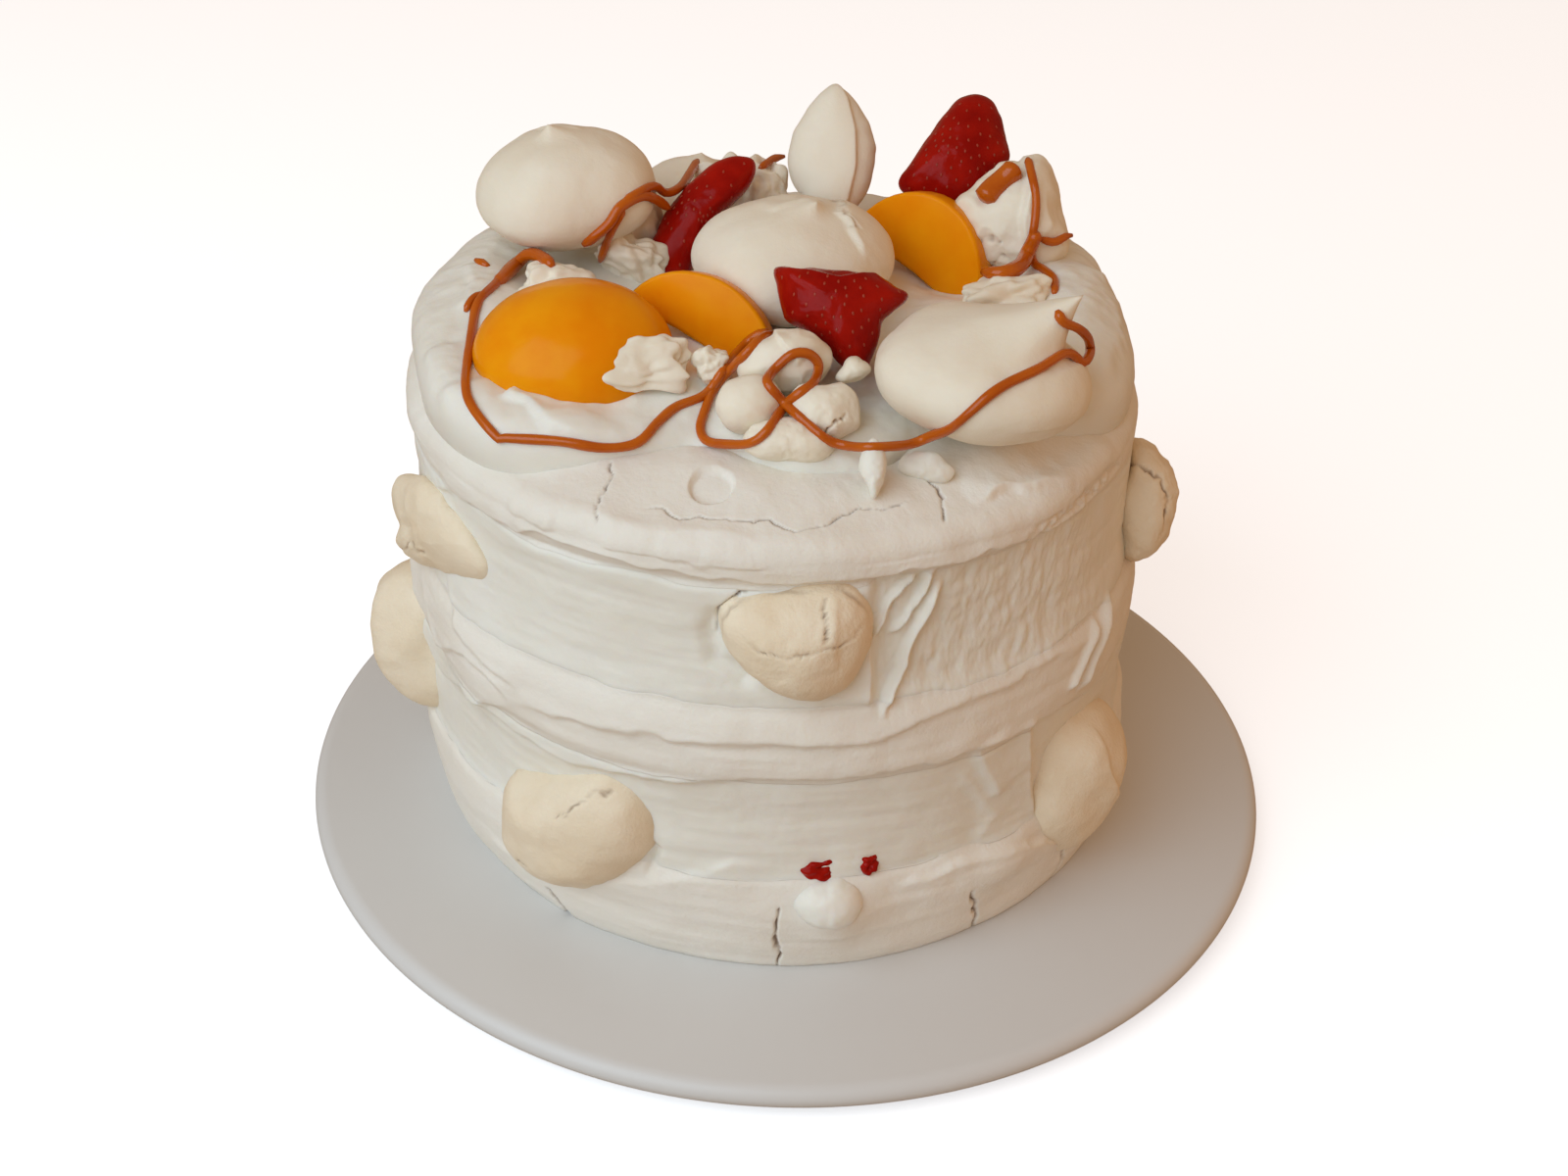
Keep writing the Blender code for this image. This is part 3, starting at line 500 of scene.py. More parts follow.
@dataclass
class CakeSide:
    """The spread side of the whole stack, which each layer takes its own band of."""

    folds: tuple[Stroke, ...]
    cracks: tuple[Stroke, ...]

    def boundary(self, level: float, azimuth: np.ndarray) -> np.ndarray:
        """The wavering height at which one layer gives way to the next."""
        angle = np.radians(azimuth)
        ring = np.stack([np.cos(angle) * 6.0, np.sin(angle) * 6.0, np.full_like(angle, level)], axis=-1)
        return level + 1.0 * rough_noise(ring, 1.0, 41)

    def layer_offset(self, name: str, azimuth: np.ndarray, height: np.ndarray) -> np.ndarray:
        """How far one layer stands out from the stack's plain outline."""
        low, high = LEVELS[name]
        share = np.clip((height - low) / (high - low), 0.0, 1.0)
        if name == "bottom_meringue_disc":
            return disc_edge(share, 2.0) + 2.8 - 1.2 * bump(turn_between(azimuth, 0), 0, 50)
        if name == "middle_meringue_disc":
            return disc_edge(share, 2.4) + 0.4
        if name == "top_meringue_disc":
            return disc_edge(share, 3.0) - 1.5 * share ** 2
        return -(1.2 if name == "upper_cream_layer" else 0.8) * np.sin(pi * share)

    def waves(self, azimuth: np.ndarray, height: np.ndarray) -> np.ndarray:
        """The slow unevenness of a cake spread by hand."""
        angle = np.radians(azimuth)
        slow = np.sin(2.0 * angle + 0.7) + 0.7 * np.sin(3.0 * angle + 2.1 + 0.02 * height)
        folds = np.sin(7.0 * angle + 0.085 * height) * bump(height, 55, 60)
        belly = bump(turn_between(azimuth, -86), 0, 26) * bump(height, 32, 30)
        return 0.8 * slow + 0.5 * folds + 3.2 * belly

    def radius(self, azimuth: np.ndarray, height: np.ndarray) -> np.ndarray:
        """The outline of the side before its cracks.

        Args:
            azimuth: Degrees about the stack, 0 in front.
            height: Millimetres above the plate.

        Returns:
            Millimetres from the stack's axis.
        """
        names = list(LEVELS)
        offset = self.layer_offset(names[0], azimuth, height)
        for name in names[1:]:
            edge = self.boundary(LEVELS[name][0], azimuth)
            share = blend(height - edge, -1.6, 1.6)
            offset = offset * (1.0 - share) + self.layer_offset(name, azimuth, height) * share
        base = body_radius(height) + self.waves(azimuth, height) + offset
        base += 3.5 * bump(turn_between(azimuth, 10), 0, 5.5) * bump(height, 20, 9)
        base += 2.5 * bump(turn_between(azimuth, 37), 0, 6) * bump(height, 24, 7)
        return base + self.relief(azimuth, height)

    def relief(self, azimuth: np.ndarray, height: np.ndarray) -> np.ndarray:
        """Spatula streaks, folds and torn cream."""
        angle = np.radians(azimuth)
        flat = np.stack([azimuth * UNROLLED * pi / 180, height], axis=-1)
        round_about = np.stack([np.cos(angle) * UNROLLED, np.sin(angle) * UNROLLED, height], axis=-1)
        streaks = rough_noise(round_about * np.array([0.12, 0.12, 1.0]), 5.0, 3, 3)
        lumps = rough_noise(round_about, 16.0, 5, 2)
        fine = rough_noise(round_about, 3.0, 6, 2)
        total = 0.30 * streaks + 0.45 * lumps + 0.06 * fine
        around = turn_between(azimuth, 0)
        torn = blend(around, 14.2, 16.5) * (1 - blend(around, 42, 66)) * blend(height, 79, 88)
        torn = torn * (1 - blend(height, 116, 120))
        slanted = (round_about + 0.40 * height[:, None] * np.array([1.0, 0.0, 0.0])) * np.array([1.0, 1.0, 0.5])
        total += torn * (0.36 * rough_noise(slanted, 3.0, 8, 3) - 1.7)
        wall = around + 0.9 * rough_noise(round_about, 4.0, 9, 2)
        pitted = blend(wall, 38, 44) * (1 - blend(wall, 62, 68))
        pitted = pitted * blend(height, 119, 120.5) * (1 - blend(height, 122.6, 123.9))
        total += pitted * (0.8 * rough_noise(round_about, 2.2, 10, 2) - 1.0)
        for line in self.folds:
            total += line.height(flat)
        return total

    def cracked(self, azimuth: np.ndarray, height: np.ndarray) -> np.ndarray:
        """How far the cracks cut in, as negative millimetres."""
        flat = np.stack([azimuth * UNROLLED * pi / 180, height], axis=-1)
        return sum(line.height(flat) for line in self.cracks)


def side_line(*points: tuple[float, float]) -> tuple[tuple[float, float], ...]:
    """A line on the side from azimuths in degrees and heights, in unrolled millimetres."""
    return tuple((azimuth * UNROLLED * pi / 180, height) for azimuth, height in points)


SIDE_FOLDS = (
    Stroke(side_line((-66, 66), (-50, 60), (-33, 58), (-18, 60.5), (-3, 65), (15, 66), (32, 66.5), (48, 65), (64, 60)),
           2.0, width=1.6, fade=9.0, seed=11),
    Stroke(side_line((-43, 65), (-38, 71), (-27, 74), (-15, 75.6), (2, 76.5), (16, 77), (25, 81), (46, 82), (60, 79)),
           1.5, width=1.5, fade=7.0, seed=12),
    Stroke(side_line((-70, 96), (-76, 78), (-73, 60), (-62, 54.5), (-49, 59), (-38, 69)), 1.9, fade=10.0, seed=13),
    Stroke(side_line((-68, 78), (-60, 66), (-50, 75), (-44, 74), (-38, 68)), 1.3, fade=6.0, seed=14),
    Stroke(side_line((-58, 90), (-52, 80), (-44, 77), (-36, 76)), 1.1, fade=7.0, seed=15),
    Stroke(side_line((-70, 112), (-54, 117), (-40, 120), (-28, 121), (-12, 120.5), (7, 120), (28, 120.6), (57, 120.5)),
           1.3, width=1.0, fade=5.0, wander=1.4, seed=16),
    Stroke(side_line((-44, 127), (-33, 124), (-20, 125.5), (-8, 123.5), (4, 125)), 0.9, width=0.9, fade=4.0,
           wander=1.2, seed=46),
    Stroke(side_line((14, 84), (14.6, 95), (13.5, 106)), 1.8, width=0.8, fade=7.0, wander=0.3, seed=17),
    Stroke(side_line((31, 67), (33, 58), (36.5, 45)), 1.5, width=2.2, fade=8.0, wander=0.4, seed=18),
    Stroke(side_line((44, 30), (42, 45), (40.5, 68)), 1.8, width=1.6, fade=6.0, wander=0.4, seed=19),
    Stroke(side_line((28, 60), (33.6, 47), (36, 39), (32, 31)), 0.8, width=2.2, fade=5.0, seed=20),
    Stroke(side_line((51, 18), (41, 26), (27, 28), (18, 27)), 1.7, fade=7.0, wander=1.2, seed=31),
    Stroke(side_line((3, 34), (-5, 34.5), (-13, 29), (-22, 23), (-36, 16), (-54, 12)), 0.9, width=1.6, fade=7.0,
           seed=32),
    Stroke(side_line((-150, 60), (-126, 66), (-104, 61), (-88, 68)), 1.9, fade=8.0, seed=33),
    Stroke(side_line((76, 62), (100, 66), (128, 60), (160, 65), (-172 + 360, 62)), 2.0, fade=8.0, seed=34),
    Stroke(side_line((84, 84), (110, 79), (135, 83), (165, 78)), 1.5, fade=6.0, seed=35),
    Stroke(side_line((96, 30), (120, 33), (150, 29)), 1.5, fade=7.0, seed=36),
)
SIDE_RIDGES = (
    ridge(side_line((22, 118), (18.6, 111), (14.6, 102)), 1.9, 0.8, 0.7, 41),
    ridge(side_line((25, 119), (21.4, 109), (17, 101)), 1.9, 0.8, 0.9, 42),
    ridge(side_line((26, 116), (22.8, 105), (20, 95), (16, 81)), 2.6, 0.9, 0.9, 43),
    ridge(side_line((63, 86), (57, 79), (50.8, 66)), 2.4, 1.1, 0.5, 44),
    ridge(side_line((57.5, 84), (53, 77), (48, 69)), 1.8, 0.9, 0.4, 45),
    ridge(side_line((-6.2, 112), (-7.6, 104), (-6.4, 97), (-3.0, 93), (0.5, 94)), -1.8, 2.4, 0.4, 47),
    ridge(side_line((-20, 42), (-16.5, 36), (-18, 27)), -1.4, 1.1, 0.3, 48),
)
SIDE_CRACKS = (
    crack(side_line((1.4, 24), (0.8, 12), (1.4, 6), (0.7, -1)), 1.4, 0.36, 0.6, 21),
    crack(side_line((30.6, 19), (32.6, 9), (33.4, -1)), 1.6, 0.55, 0.6, 22),
    crack(side_line((-36.5, 9), (-35.2, 4), (-33.5, -1)), 2.2, 0.9, 0.5, 26),
    crack(side_line((51, 14), (52.5, 7), (51.5, -1)), 1.3, 0.5, 0.5, 27),
    crack(side_line((-6.7, 102), (-6.4, 110.6), (-3.0, 115.8), (1.2, 117.6), (4.5, 118.2), (8, 118.4), (12.2, 116.5),
          (14.3, 110), (14.9, 102), (13.8, 95)), 1.3, 0.36, 0.1, 28),
    crack(side_line((0.2, 126), (0, 122.5), (-0.5, 119.5)), 0.6, 0.32, 0.6, 29),
    crack(side_line((-172, 26), (-171, 14), (-173, 4), (-172, -1)), 2.4, 0.7, 0.5, 30),
    crack(side_line((118, 22), (116, 12), (117, -1)), 2.0, 0.6, 0.5, 37),
    crack(side_line((26, 119), (34, 121), (44, 120.5), (53, 122)), 0.7, 0.4, 0.6, 38),
)


@dataclass
class LayerBand:
    """One layer of the stack as a closed drum with a finely shaped side."""

    name: str
    finish: Finish
    side: CakeSide
    segments: int = 1150
    step: float = 0.6

    def build(self) -> bpy.types.Object:
        """Shapes the drum's rings and shows it in place of the layer's solid."""
        low, high = LEVELS[self.name]
        rings = int((high - low) / self.step) + 2
        mesh = ring_ladder(rings, self.segments, self.name)
        ring, azimuth = ladder_places(mesh)
        azimuth = finer_in_front(azimuth)
        bottom = np.zeros_like(azimuth) if low == 0 else self.side.boundary(low, azimuth) - LAP
        top = self.side.boundary(high, azimuth) + LAP
        share = np.clip((ring - 1) / (rings - 1), 0.0, 1.0)
        height = bottom + (top - bottom) * share
        flat_ends = (ring == 0) | (ring == rings + 1)
        height = np.where(flat_ends, np.where(ring == 0, low, high), height)
        radius = self.side.radius(azimuth, height) - SEAM_INSET * ((share < 0.02) | (share > 0.98))
        cuts = self.side.cracked(azimuth, height)
        radius = np.where(flat_ends, 0.0, radius + cuts)
        # Painted shade inside the side's cracks.
        shade_cracks(mesh, cuts)
        return shaped(mesh, on_cake(azimuth, radius, height), f"{self.name}_spread", self.finish, self.name)


@dataclass
class TopDisc:
    """The top baked disc, whose bare rim and cracked top show in front."""

    side: CakeSide
    segments: int = 960
    side_rings: int = 20
    corner_rings: int = 18
    top_rings: int = 64
    corner: float = 5.0
    inner: float = 55.0

    def surface(self, azimuth: np.ndarray, radius: np.ndarray) -> np.ndarray:
        """The height above the plate of the disc's top."""
        fall = blend(radius, 74, 99)
        angle = np.radians(azimuth)
        dents = 0.5 * np.sin(5 * angle) * np.sin(radius * 0.16)
        bubble = 1 - blend(np.hypot(radius * np.sin(angle) + 12.2, radius * np.cos(angle) - 79.0), 4.6, 5.6)
        flat = np.stack([radius * np.sin(angle), radius * np.cos(angle), np.zeros_like(radius)], axis=-1)
        lumps = 0.5 * rough_noise(flat, 14.0, 15, 2) + 0.10 * rough_noise(flat, 3.0, 16, 2)
        return TOP_LEVEL - 6.5 * fall + dents * (1 - fall) - 1.7 * bubble + lumps

    def build(self) -> bpy.types.Object:
        """Shapes the side, the rounded corner and the top as one skin."""
        low = LEVELS["top_meringue_disc"][0]
        rings = self.side_rings + self.corner_rings + self.top_rings
        mesh = ring_ladder(rings, self.segments, "top_meringue_disc")
        ring, azimuth = ladder_places(mesh)
        azimuth = finer_in_front(azimuth)
        edge = self.side.radius(azimuth, np.full_like(azimuth, RIM_LEVEL))
        bottom = self.side.boundary(low, azimuth) - LAP
        side_share = np.clip((ring - 1) / self.side_rings, 0.0, 1.0)
        turn = np.clip((ring - 1 - self.side_rings) / self.corner_rings, 0.0, 1.0) * pi / 2
        inwards = np.clip((ring - 1 - self.side_rings - self.corner_rings) / self.top_rings, 0.0, 1.0)
        inwards = 0.5 * inwards + 0.5 * inwards ** 2.5
        on_side = ring <= self.side_rings
        radius = edge - self.corner * (1 - np.cos(turn)) - (edge - self.corner - self.inner) * inwards
        rim = self.surface(azimuth, edge)
        top = self.surface(azimuth, radius) - self.corner * (1 - np.sin(turn))
        height = np.where(on_side, bottom + (rim - self.corner - bottom) * side_share, top)
        radius = np.where(on_side, self.side.radius(azimuth, height), radius)
        radius = np.where(ring == 1, radius - SEAM_INSET, radius)
        last = ring == rings + 1
        first = ring == 0
        radius = np.where(first | last, 0.0, radius)
        height = np.where(first, low, np.where(last, TOP_LEVEL, height))
        points = on_cake(azimuth, radius, height)
        relief, cuts = drawn(TOP_MARKS, points[:, :2], ~on_side)
        points[:, 2] += relief
        # Painted shade inside the top's cracks.
        shade_cracks(mesh, cuts * CRACK_SHADE_GAIN)
        return shaped(mesh, points, "top_disc_crust", DISC, "top_meringue_disc")


def top_line(*points: tuple[float, float]) -> tuple[tuple[float, float], ...]:
    """A line on top from azimuths in degrees and radii, across the plate in millimetres."""
    centre_x = CAKE_CENTRE[0] + CAKE_LEAN * TOP_LEVEL
    return tuple((centre_x + radius * sin(radians(azimuth)), CAKE_CENTRE[1] - radius * cos(radians(azimuth)))
                 for azimuth, radius in points)


TOP_MARKS = (
    Stroke(((-84.0, -70.0), (-74.0, -82.0), (-60.0, -90.0), (-48.2, -84.5), (-34.2, -89.4), (-20.6, -91.5),
            (-2.8, -94.5), (10.4, -95.0), (24.0, -92.0)), 0.8, 1.4, 8.0, wander=1.0, seed=61),
    Stroke(((40.0, -76.0), (45.9, -72.3), (57.0, -66.0), (68.0, -60.0), (76.0, -48.2), (82.0, -40.0)), 1.9, 0.8, 8.0,
           wander=1.2, seed=62),
    crack(top_line((-18.4, 90), (-15.7, 88.5), (-11.7, 90.3), (-6.9, 89), (-1.9, 90), (0.8, 89.5), (4.5, 93), (8.7, 92),
                   (14.8, 87), (18.3, 88), (24.2, 87)), 0.75, 0.26, 0.7, 23),
    crack(top_line((-27, 79), (-25.7, 82.3), (-24.8, 89.7), (-24.1, 93.5), (-23.2, 97)), 0.75, 0.28, 0.7, 24),
    crack(top_line((25.8, 68), (26.1, 77), (28.0, 83), (28.5, 88.2), (27.0, 91.5), (26.5, 96)), 0.95, 0.32, 0.7, 25),
)


@dataclass
class TopCream:
    """The swirled cream that the toppings are pressed into."""

    segments: int = 900
    rings: int = 105
    floor: float = 131.5
    lip: float = 130.0
    foot: float = 126.0

    def reach(self, azimuth: np.ndarray) -> np.ndarray:
        """How far out the cream spreads."""
        around = turn_between(azimuth, 0)
        front = 1.0 - np.maximum(blend(-around, 14, 46), blend(around, 34, 70))
        lobes = 2.2 * np.sin(np.radians(6 * azimuth + 40)) + 1.4 * np.sin(np.radians(11 * azimuth))
        tongue = 7.0 * bump(around, 22, 9)
        return 95.0 - 25.5 * front + lobes * (0.4 + 0.9 * front) + tongue

    def surface(self, azimuth: np.ndarray, radius: np.ndarray) -> np.ndarray:
        """The cream's height above the plate."""
        left = bump(turn_between(azimuth, -88), 0, 48)
        right = bump(turn_between(azimuth, 96), 0, 48)
        crown = 140.0 + 10.0 * left + 15.0 * right
        inner = 143.5
        level = inner + (crown - inner) * blend(radius, 40, 84)
        swirl = 1.1 * np.sin(np.radians(4 * azimuth) + radius * 0.19) + 0.7 * np.sin(np.radians(9 * azimuth + 50))
        edge = np.minimum(1.0, radius / self.reach(azimuth))
        rounding = np.sqrt(np.maximum(0.0, 1.0 - edge ** 10))
        return self.floor + (level + swirl - self.floor) * (0.25 + 0.75 * rounding)

    def build(self) -> bpy.types.Object:
        """Shapes the cream's skin from its underside's rim over its top."""
        mesh = ring_ladder(self.rings, self.segments, "top_cream")
        ring, azimuth = ladder_places(mesh)
        reach = self.reach(azimuth)
        share = np.clip((ring - 3) / (self.rings - 3), 0.0, 1.0)
        radius = reach * (1.0 - share ** 1.15)
        height = self.surface(azimuth, radius)
        under = ring <= 2
        radius = np.where(under, reach * np.where(ring == 2, 0.995, 0.97), radius)
        height = np.where(under, np.where(ring == 2, self.lip, self.foot), height)
        last = ring == self.rings + 1
        radius = np.where((ring == 0) | last, 0.0, radius)
        crown = self.surface(azimuth, np.zeros_like(radius)).mean()
        height = np.where(ring == 0, self.foot, np.where(last, crown, height))
        points = on_cake(azimuth, radius, height)
        lumps = 0.7 * rough_noise(points, 13.0, 31, 3) + 0.12 * rough_noise(points, 3.0, 32, 2)
        points[:, 2] += np.where(under, 0.0, lumps) + drawn(CREAM_FOLDS, points[:, :2], ~under)[0]
        return shaped(mesh, points, "top_cream_swirls", CREAM, "top_cream")


CREAM_FOLDS = (
    Stroke(((-73.0, -37.0), (-68.0, -54.0), (-58.0, -66.0), (-48.0, -70.0), (-36.0, -71.0), (-28.0, -74.0)), 2.2, 1.3,
           11.0, wander=1.5, seed=71),
    Stroke(((-88.0, -48.0), (-84.0, -60.0), (-78.0, -69.0), (-71.0, -75.0)), 1.8, 1.2, 9.0, wander=1.0, seed=72),
    Stroke(((-92.0, -30.0), (-90.0, -45.0), (-84.0, -58.0)), 1.2, 1.4, 8.0, wander=1.2, seed=73),
    Stroke(((30.0, -70.0), (44.0, -76.0), (56.0, -73.0), (66.0, -64.0), (74.0, -50.0)), 2.0, 1.2, 8.0, wander=1.2,
           seed=74),
    Stroke(((72.0, -40.0), (80.0, -24.0), (82.0, -4.0), (78.0, 18.0)), 1.8, 1.3, 9.0, wander=1.5, seed=75),
    Stroke(((-90.0, 10.0), (-84.0, -4.0), (-86.0, -20.0)), 1.2, 1.4, 7.0, wander=1.2, seed=76),
    Stroke(((86.0, 20.0), (76.0, 45.0), (56.0, 66.0), (30.0, 80.0)), 1.6, 1.4, 9.0, wander=1.5, seed=77),
    Stroke(((10.0, 84.0), (-20.0, 86.0), (-50.0, 74.0), (-72.0, 54.0)), 1.5, 1.4, 9.0, wander=1.5, seed=78),
)


def build_plate() -> bpy.types.Object:
    """The plate again with a smooth round edge."""
    profile = [(94.0, 0.0), (94.7, 0.2), (95.0, 0.6), (99.0, 3.0)]
    middle, half = 6.5, 3.5
    for step in range(0, 17):
        angle = -pi / 2 + pi * step / 16
        profile.append((136.0 + 4.0 * cos(angle), middle + half * sin(angle)))
    profile.append((120.0, PLATE_HEIGHT))
    mesh = ring_ladder(len(profile), 256, "plate")
    ring, azimuth = ladder_places(mesh)
    table = np.array([(0.0, 0.0)] + profile + [(0.0, PLATE_HEIGHT)])
    angle = np.radians(azimuth)
    radius = table[ring, 0]
    points = np.stack([radius * np.sin(angle), -radius * np.cos(angle), table[ring, 1]], axis=-1)
    return shaped(mesh, points, "plate_glazed", PORCELAIN, "plate")


def turn_matrix(place: tuple[float, float, float], turn: tuple[float, float, float]) -> np.ndarray:
    """The 4 by 4 matrix of degrees about X, Y and Z and a place above the plate, in millimetres."""
    matrix = Euler([radians(angle) for angle in turn]).to_matrix().to_4x4()
    matrix.translation = Vector((place[0], place[1], place[2] + PLATE_HEIGHT))
    return np.array(matrix)


def moved(points: np.ndarray, matrix: np.ndarray) -> np.ndarray:
    """Points put through a 4 by 4 matrix."""
    return points @ matrix[:3, :3].T + matrix[:3, 3]


@dataclass
class PipedKiss:
    """A piped meringue kiss lying on the cream."""

    name: str
    width: float
    below: float
    above: float
    phase: float
    place: tuple[float, float, float]
    turn: tuple[float, float, float] = (0, 0, 0)
    peak: float = 3.0
    peak_spread: float = 0.5
    peak_sharp: float = 2.0
    lean: tuple[float, float] = (0, 0)
    marks: tuple[Stroke, ...] = ()
    rings: int = 110
    segments: int = 200

    def build(self) -> bpy.types.Object:
        """Shapes the kiss and puts it in its place."""
        mesh = ring_ladder(self.rings, self.segments, self.name)
        ring, azimuth = ladder_places(mesh)
        angle = np.radians(azimuth)
        fall = pi * (1.0 - ring / (self.rings + 1))
        x, y, z = np.sin(fall) * np.cos(angle), np.sin(fall) * np.sin(angle), np.cos(fall)
        flute = 1.0 + 0.03 * np.sin(3 * angle + self.phase) + 0.02 * np.sin(5 * angle - self.phase)
        crest = np.clip(1.0 - fall / self.peak_spread, 0.0, 1.0)
        points = np.stack([x * flute * self.width / 2 + self.lean[0] * crest ** 1.5,
                           y * flute * self.width / 2 + self.lean[1] * crest ** 1.5,
                           z * np.where(z > 0, self.above, self.below) + self.peak * crest ** self.peak_sharp],
                          axis=-1)
        size = np.maximum(1e-6, np.linalg.norm(points, axis=1))[:, None]
        lumps = 0.45 * rough_noise(points, 12.0, int(self.phase * 10), 2) + 0.05 * rough_noise(points, 2.5, 5, 2)
        relief, cuts = drawn(self.marks, points[:, :2], z > -0.2)
        points += points / size * (lumps + relief)[:, None]
        # Painted shade inside the kiss's cracks, at half strength.
        shade_cracks(mesh, cuts * 1.4, 0.375)
        return shaped(mesh, moved(points, turn_matrix(self.place, self.turn)), f"{self.name}_piped", KISS, self.name)


TOP_KISSES = (
    PipedKiss("kiss_centre", 52, 14, 15, 0.4, (-3, 3, 155), peak=2.6, peak_spread=0.45, lean=(6, -2),
              marks=(Stroke(((9, 15), (12, 6), (11, 0), (15, -7), (20, -14)), 1.5, 0.7, 9.0, wander=1.2, seed=81),
                     crack(((11, 12), (12.6, 5), (12, 0), (16, -6)), 0.9, 0.5, 1.2, 81),
                     Stroke(((-6, -3), (0, 1), (8, 3)), 0.7, 0.8, 6.0, wander=0.5, seed=83))),
    PipedKiss("kiss_back_left", 48, 13, 17, 1.9, (-63.6, 25, 163), (0, -4, 0), peak=2.8, peak_spread=0.36,
              lean=(-3, -2), marks=(Stroke(((-8, 8), (-2, 2), (6, 3)), 0.5, 1.0, 5.0, wander=0.5, seed=84),)),
    PipedKiss("kiss_front_right", 51, 14, 13, 3.2, (43, -51, 152), (0, 6, 0), peak=11.0, peak_spread=0.85,
              peak_sharp=2.3, lean=(19, -3),
              marks=(Stroke(((18, 14), (22, 4), (21, -6), (15, -14), (4, -19)), 0.8, 1.0, 7.0, wander=0.6, seed=85),)),
    PipedKiss("kiss_back", 34, 9, 11, 0.9, (-32, 66, 146), peak=2.0, lean=(2, 2)),
)


@dataclass
class FacingLump:
    """A lump whose outline as seen from the photograph's side is given by its reaches in even directions.

    The reaches run from the right anticlockwise, in millimetres in the picture's own directions, and marks are lines
    in those directions too. The tilt brings the outline towards the camera along the right and the up direction.
    """

    name: str
    place: tuple[float, float, float]
    reach: tuple[float, ...]
    front: float
    back: float
    finish: Finish
    rough: float = 0.3
    rough_size: float = 7.0
    seed: int = 1
    facets: float = 0.0
    tilt: tuple[float, float] = (0.0, 0.0)
    marks: tuple[Stroke, ...] = ()
    node: str = ""
    square: float = 1.0
    broad: float = 1.0
    rings: int = 90
    segments: int = 170

    def seat(self) -> np.ndarray:
        """The lump's middle, in millimetres."""
        return np.array(self.place) + np.array([0.0, 0.0, PLATE_HEIGHT])

    def form(self, azimuth: np.ndarray, fall: np.ndarray) -> np.ndarray:
        """Points in the picture's directions: right, up and towards the camera."""
        spread = np.sin(fall) ** self.square * reach_at(self.reach, azimuth)
        angle = np.radians(azimuth)
        across, up = spread * np.cos(angle) * self.broad, spread * np.sin(angle)
        depth = np.cos(fall) * np.where(np.cos(fall) > 0, self.front, self.back)
        return np.stack([across, up, depth + self.tilt[0] * across + self.tilt[1] * up], axis=-1)

    def build(self) -> bpy.types.Object:
        """Shapes the lump and puts it in its place."""
        mesh = ring_ladder(self.rings, self.segments, self.name)
        ring, azimuth = ladder_places(mesh)
        fall = pi * (1.0 - ring / (self.rings + 1))
        points = self.form(azimuth, fall)
        size = np.maximum(1e-6, np.linalg.norm(points, axis=1))[:, None]
        lumps = self.rough * rough_noise(points, self.rough_size, self.seed, 3)
        if self.facets:
            lumps = lumps - self.facets * np.abs(soft_noise(points / 7.0, self.seed + 30))
        relief, cuts = drawn(self.marks, points[:, :2], fall < pi / 2)
        points += points / size * (lumps + relief)[:, None]
        # Painted shade inside the lump's cracks.
        shade_cracks(mesh, cuts * CRACK_SHADE_GAIN)
        nodes = [self.node] if self.node else []
        points = points @ np.array(FACING).T + self.seat()
        return shaped(mesh, points, f"{self.name}_shaped", self.finish, *nodes)


@dataclass
class BrokenPiece:
    """A broken lump of meringue."""

    name: str
    size: tuple[float, float, float]
    rough: float
    seed: float
    place: tuple[float, float, float]
    turn: tuple[float, float, float] = (0, 0, 0)
    detail: int = 6
    finish: Finish = KISS

    def build(self) -> bpy.types.Object:
        """Shapes the lump and puts it in its place."""
        bm = bmesh.new()
        bmesh.ops.create_icosphere(bm, subdivisions=self.detail, radius=1.0)
        shift = Vector((self.seed * 3.1, self.seed * 1.7, self.seed * 2.3))
        for vert in bm.verts:
            point = vert.co.copy()
            swell = 1.0 + self.rough * noise.noise(point * 1.4 + shift)
            swell += 0.4 * self.rough * noise.noise(point * 3.1 - shift)
            flat = Vector([max(-0.8, min(0.8, value)) / 0.8 for value in point])
            mixed = (point * 0.55 + flat * 0.35) * swell
            vert.co = Vector([value * side / 2 for value, side in zip(mixed, self.size)])
        mesh = mesh_from(bm, self.name)
        points = coordinates(mesh)
        size = np.maximum(1e-6, np.linalg.norm(points, axis=1))[:, None]
        points += points / size * (0.28 * rough_noise(points, 6.0, int(self.seed), 3))[:, None]
        points = moved(points, turn_matrix(self.place, self.turn))
        return shaped(mesh, points, f"{self.name}_crumbly", self.finish, self.name)


BROKEN_PIECES = (
    BrokenPiece("meringue_shard_1", (22, 12, 16), 0.50, 7.0, (-46, 16, 148), (20, 30, 0)),
    BrokenPiece("meringue_shard_2", (16, 8, 20), 0.50, 8.0, (-44, 27, 153), (0, -25, 40)),
    BrokenPiece("meringue_shard_3", (22, 14, 12), 0.45, 9.0, (-62, -3, 148), (0, 10, 20)),
    BrokenPiece("meringue_shard_4", (18, 12, 22), 0.40, 10.0, (-24, 51, 153), (0, 20, 0)),
    BrokenPiece("meringue_shard_5", (13, 13, 22), 0.35, 11.0, (-11, 47, 155), (0, 0, 30)),
    BrokenPiece("meringue_shard_6", (24, 9, 14), 0.50, 12.0, (-38, -48, 149), (-30, 0, 12)),
    BrokenPiece("meringue_shard_7", (28, 16, 13), 0.45, 13.0, (52, -8, 151), (0, -8, 15)),
    BrokenPiece("meringue_crumb_2", (9, 8, 9), 0.40, 14.0, (-22, -44, 148), detail=5),
)


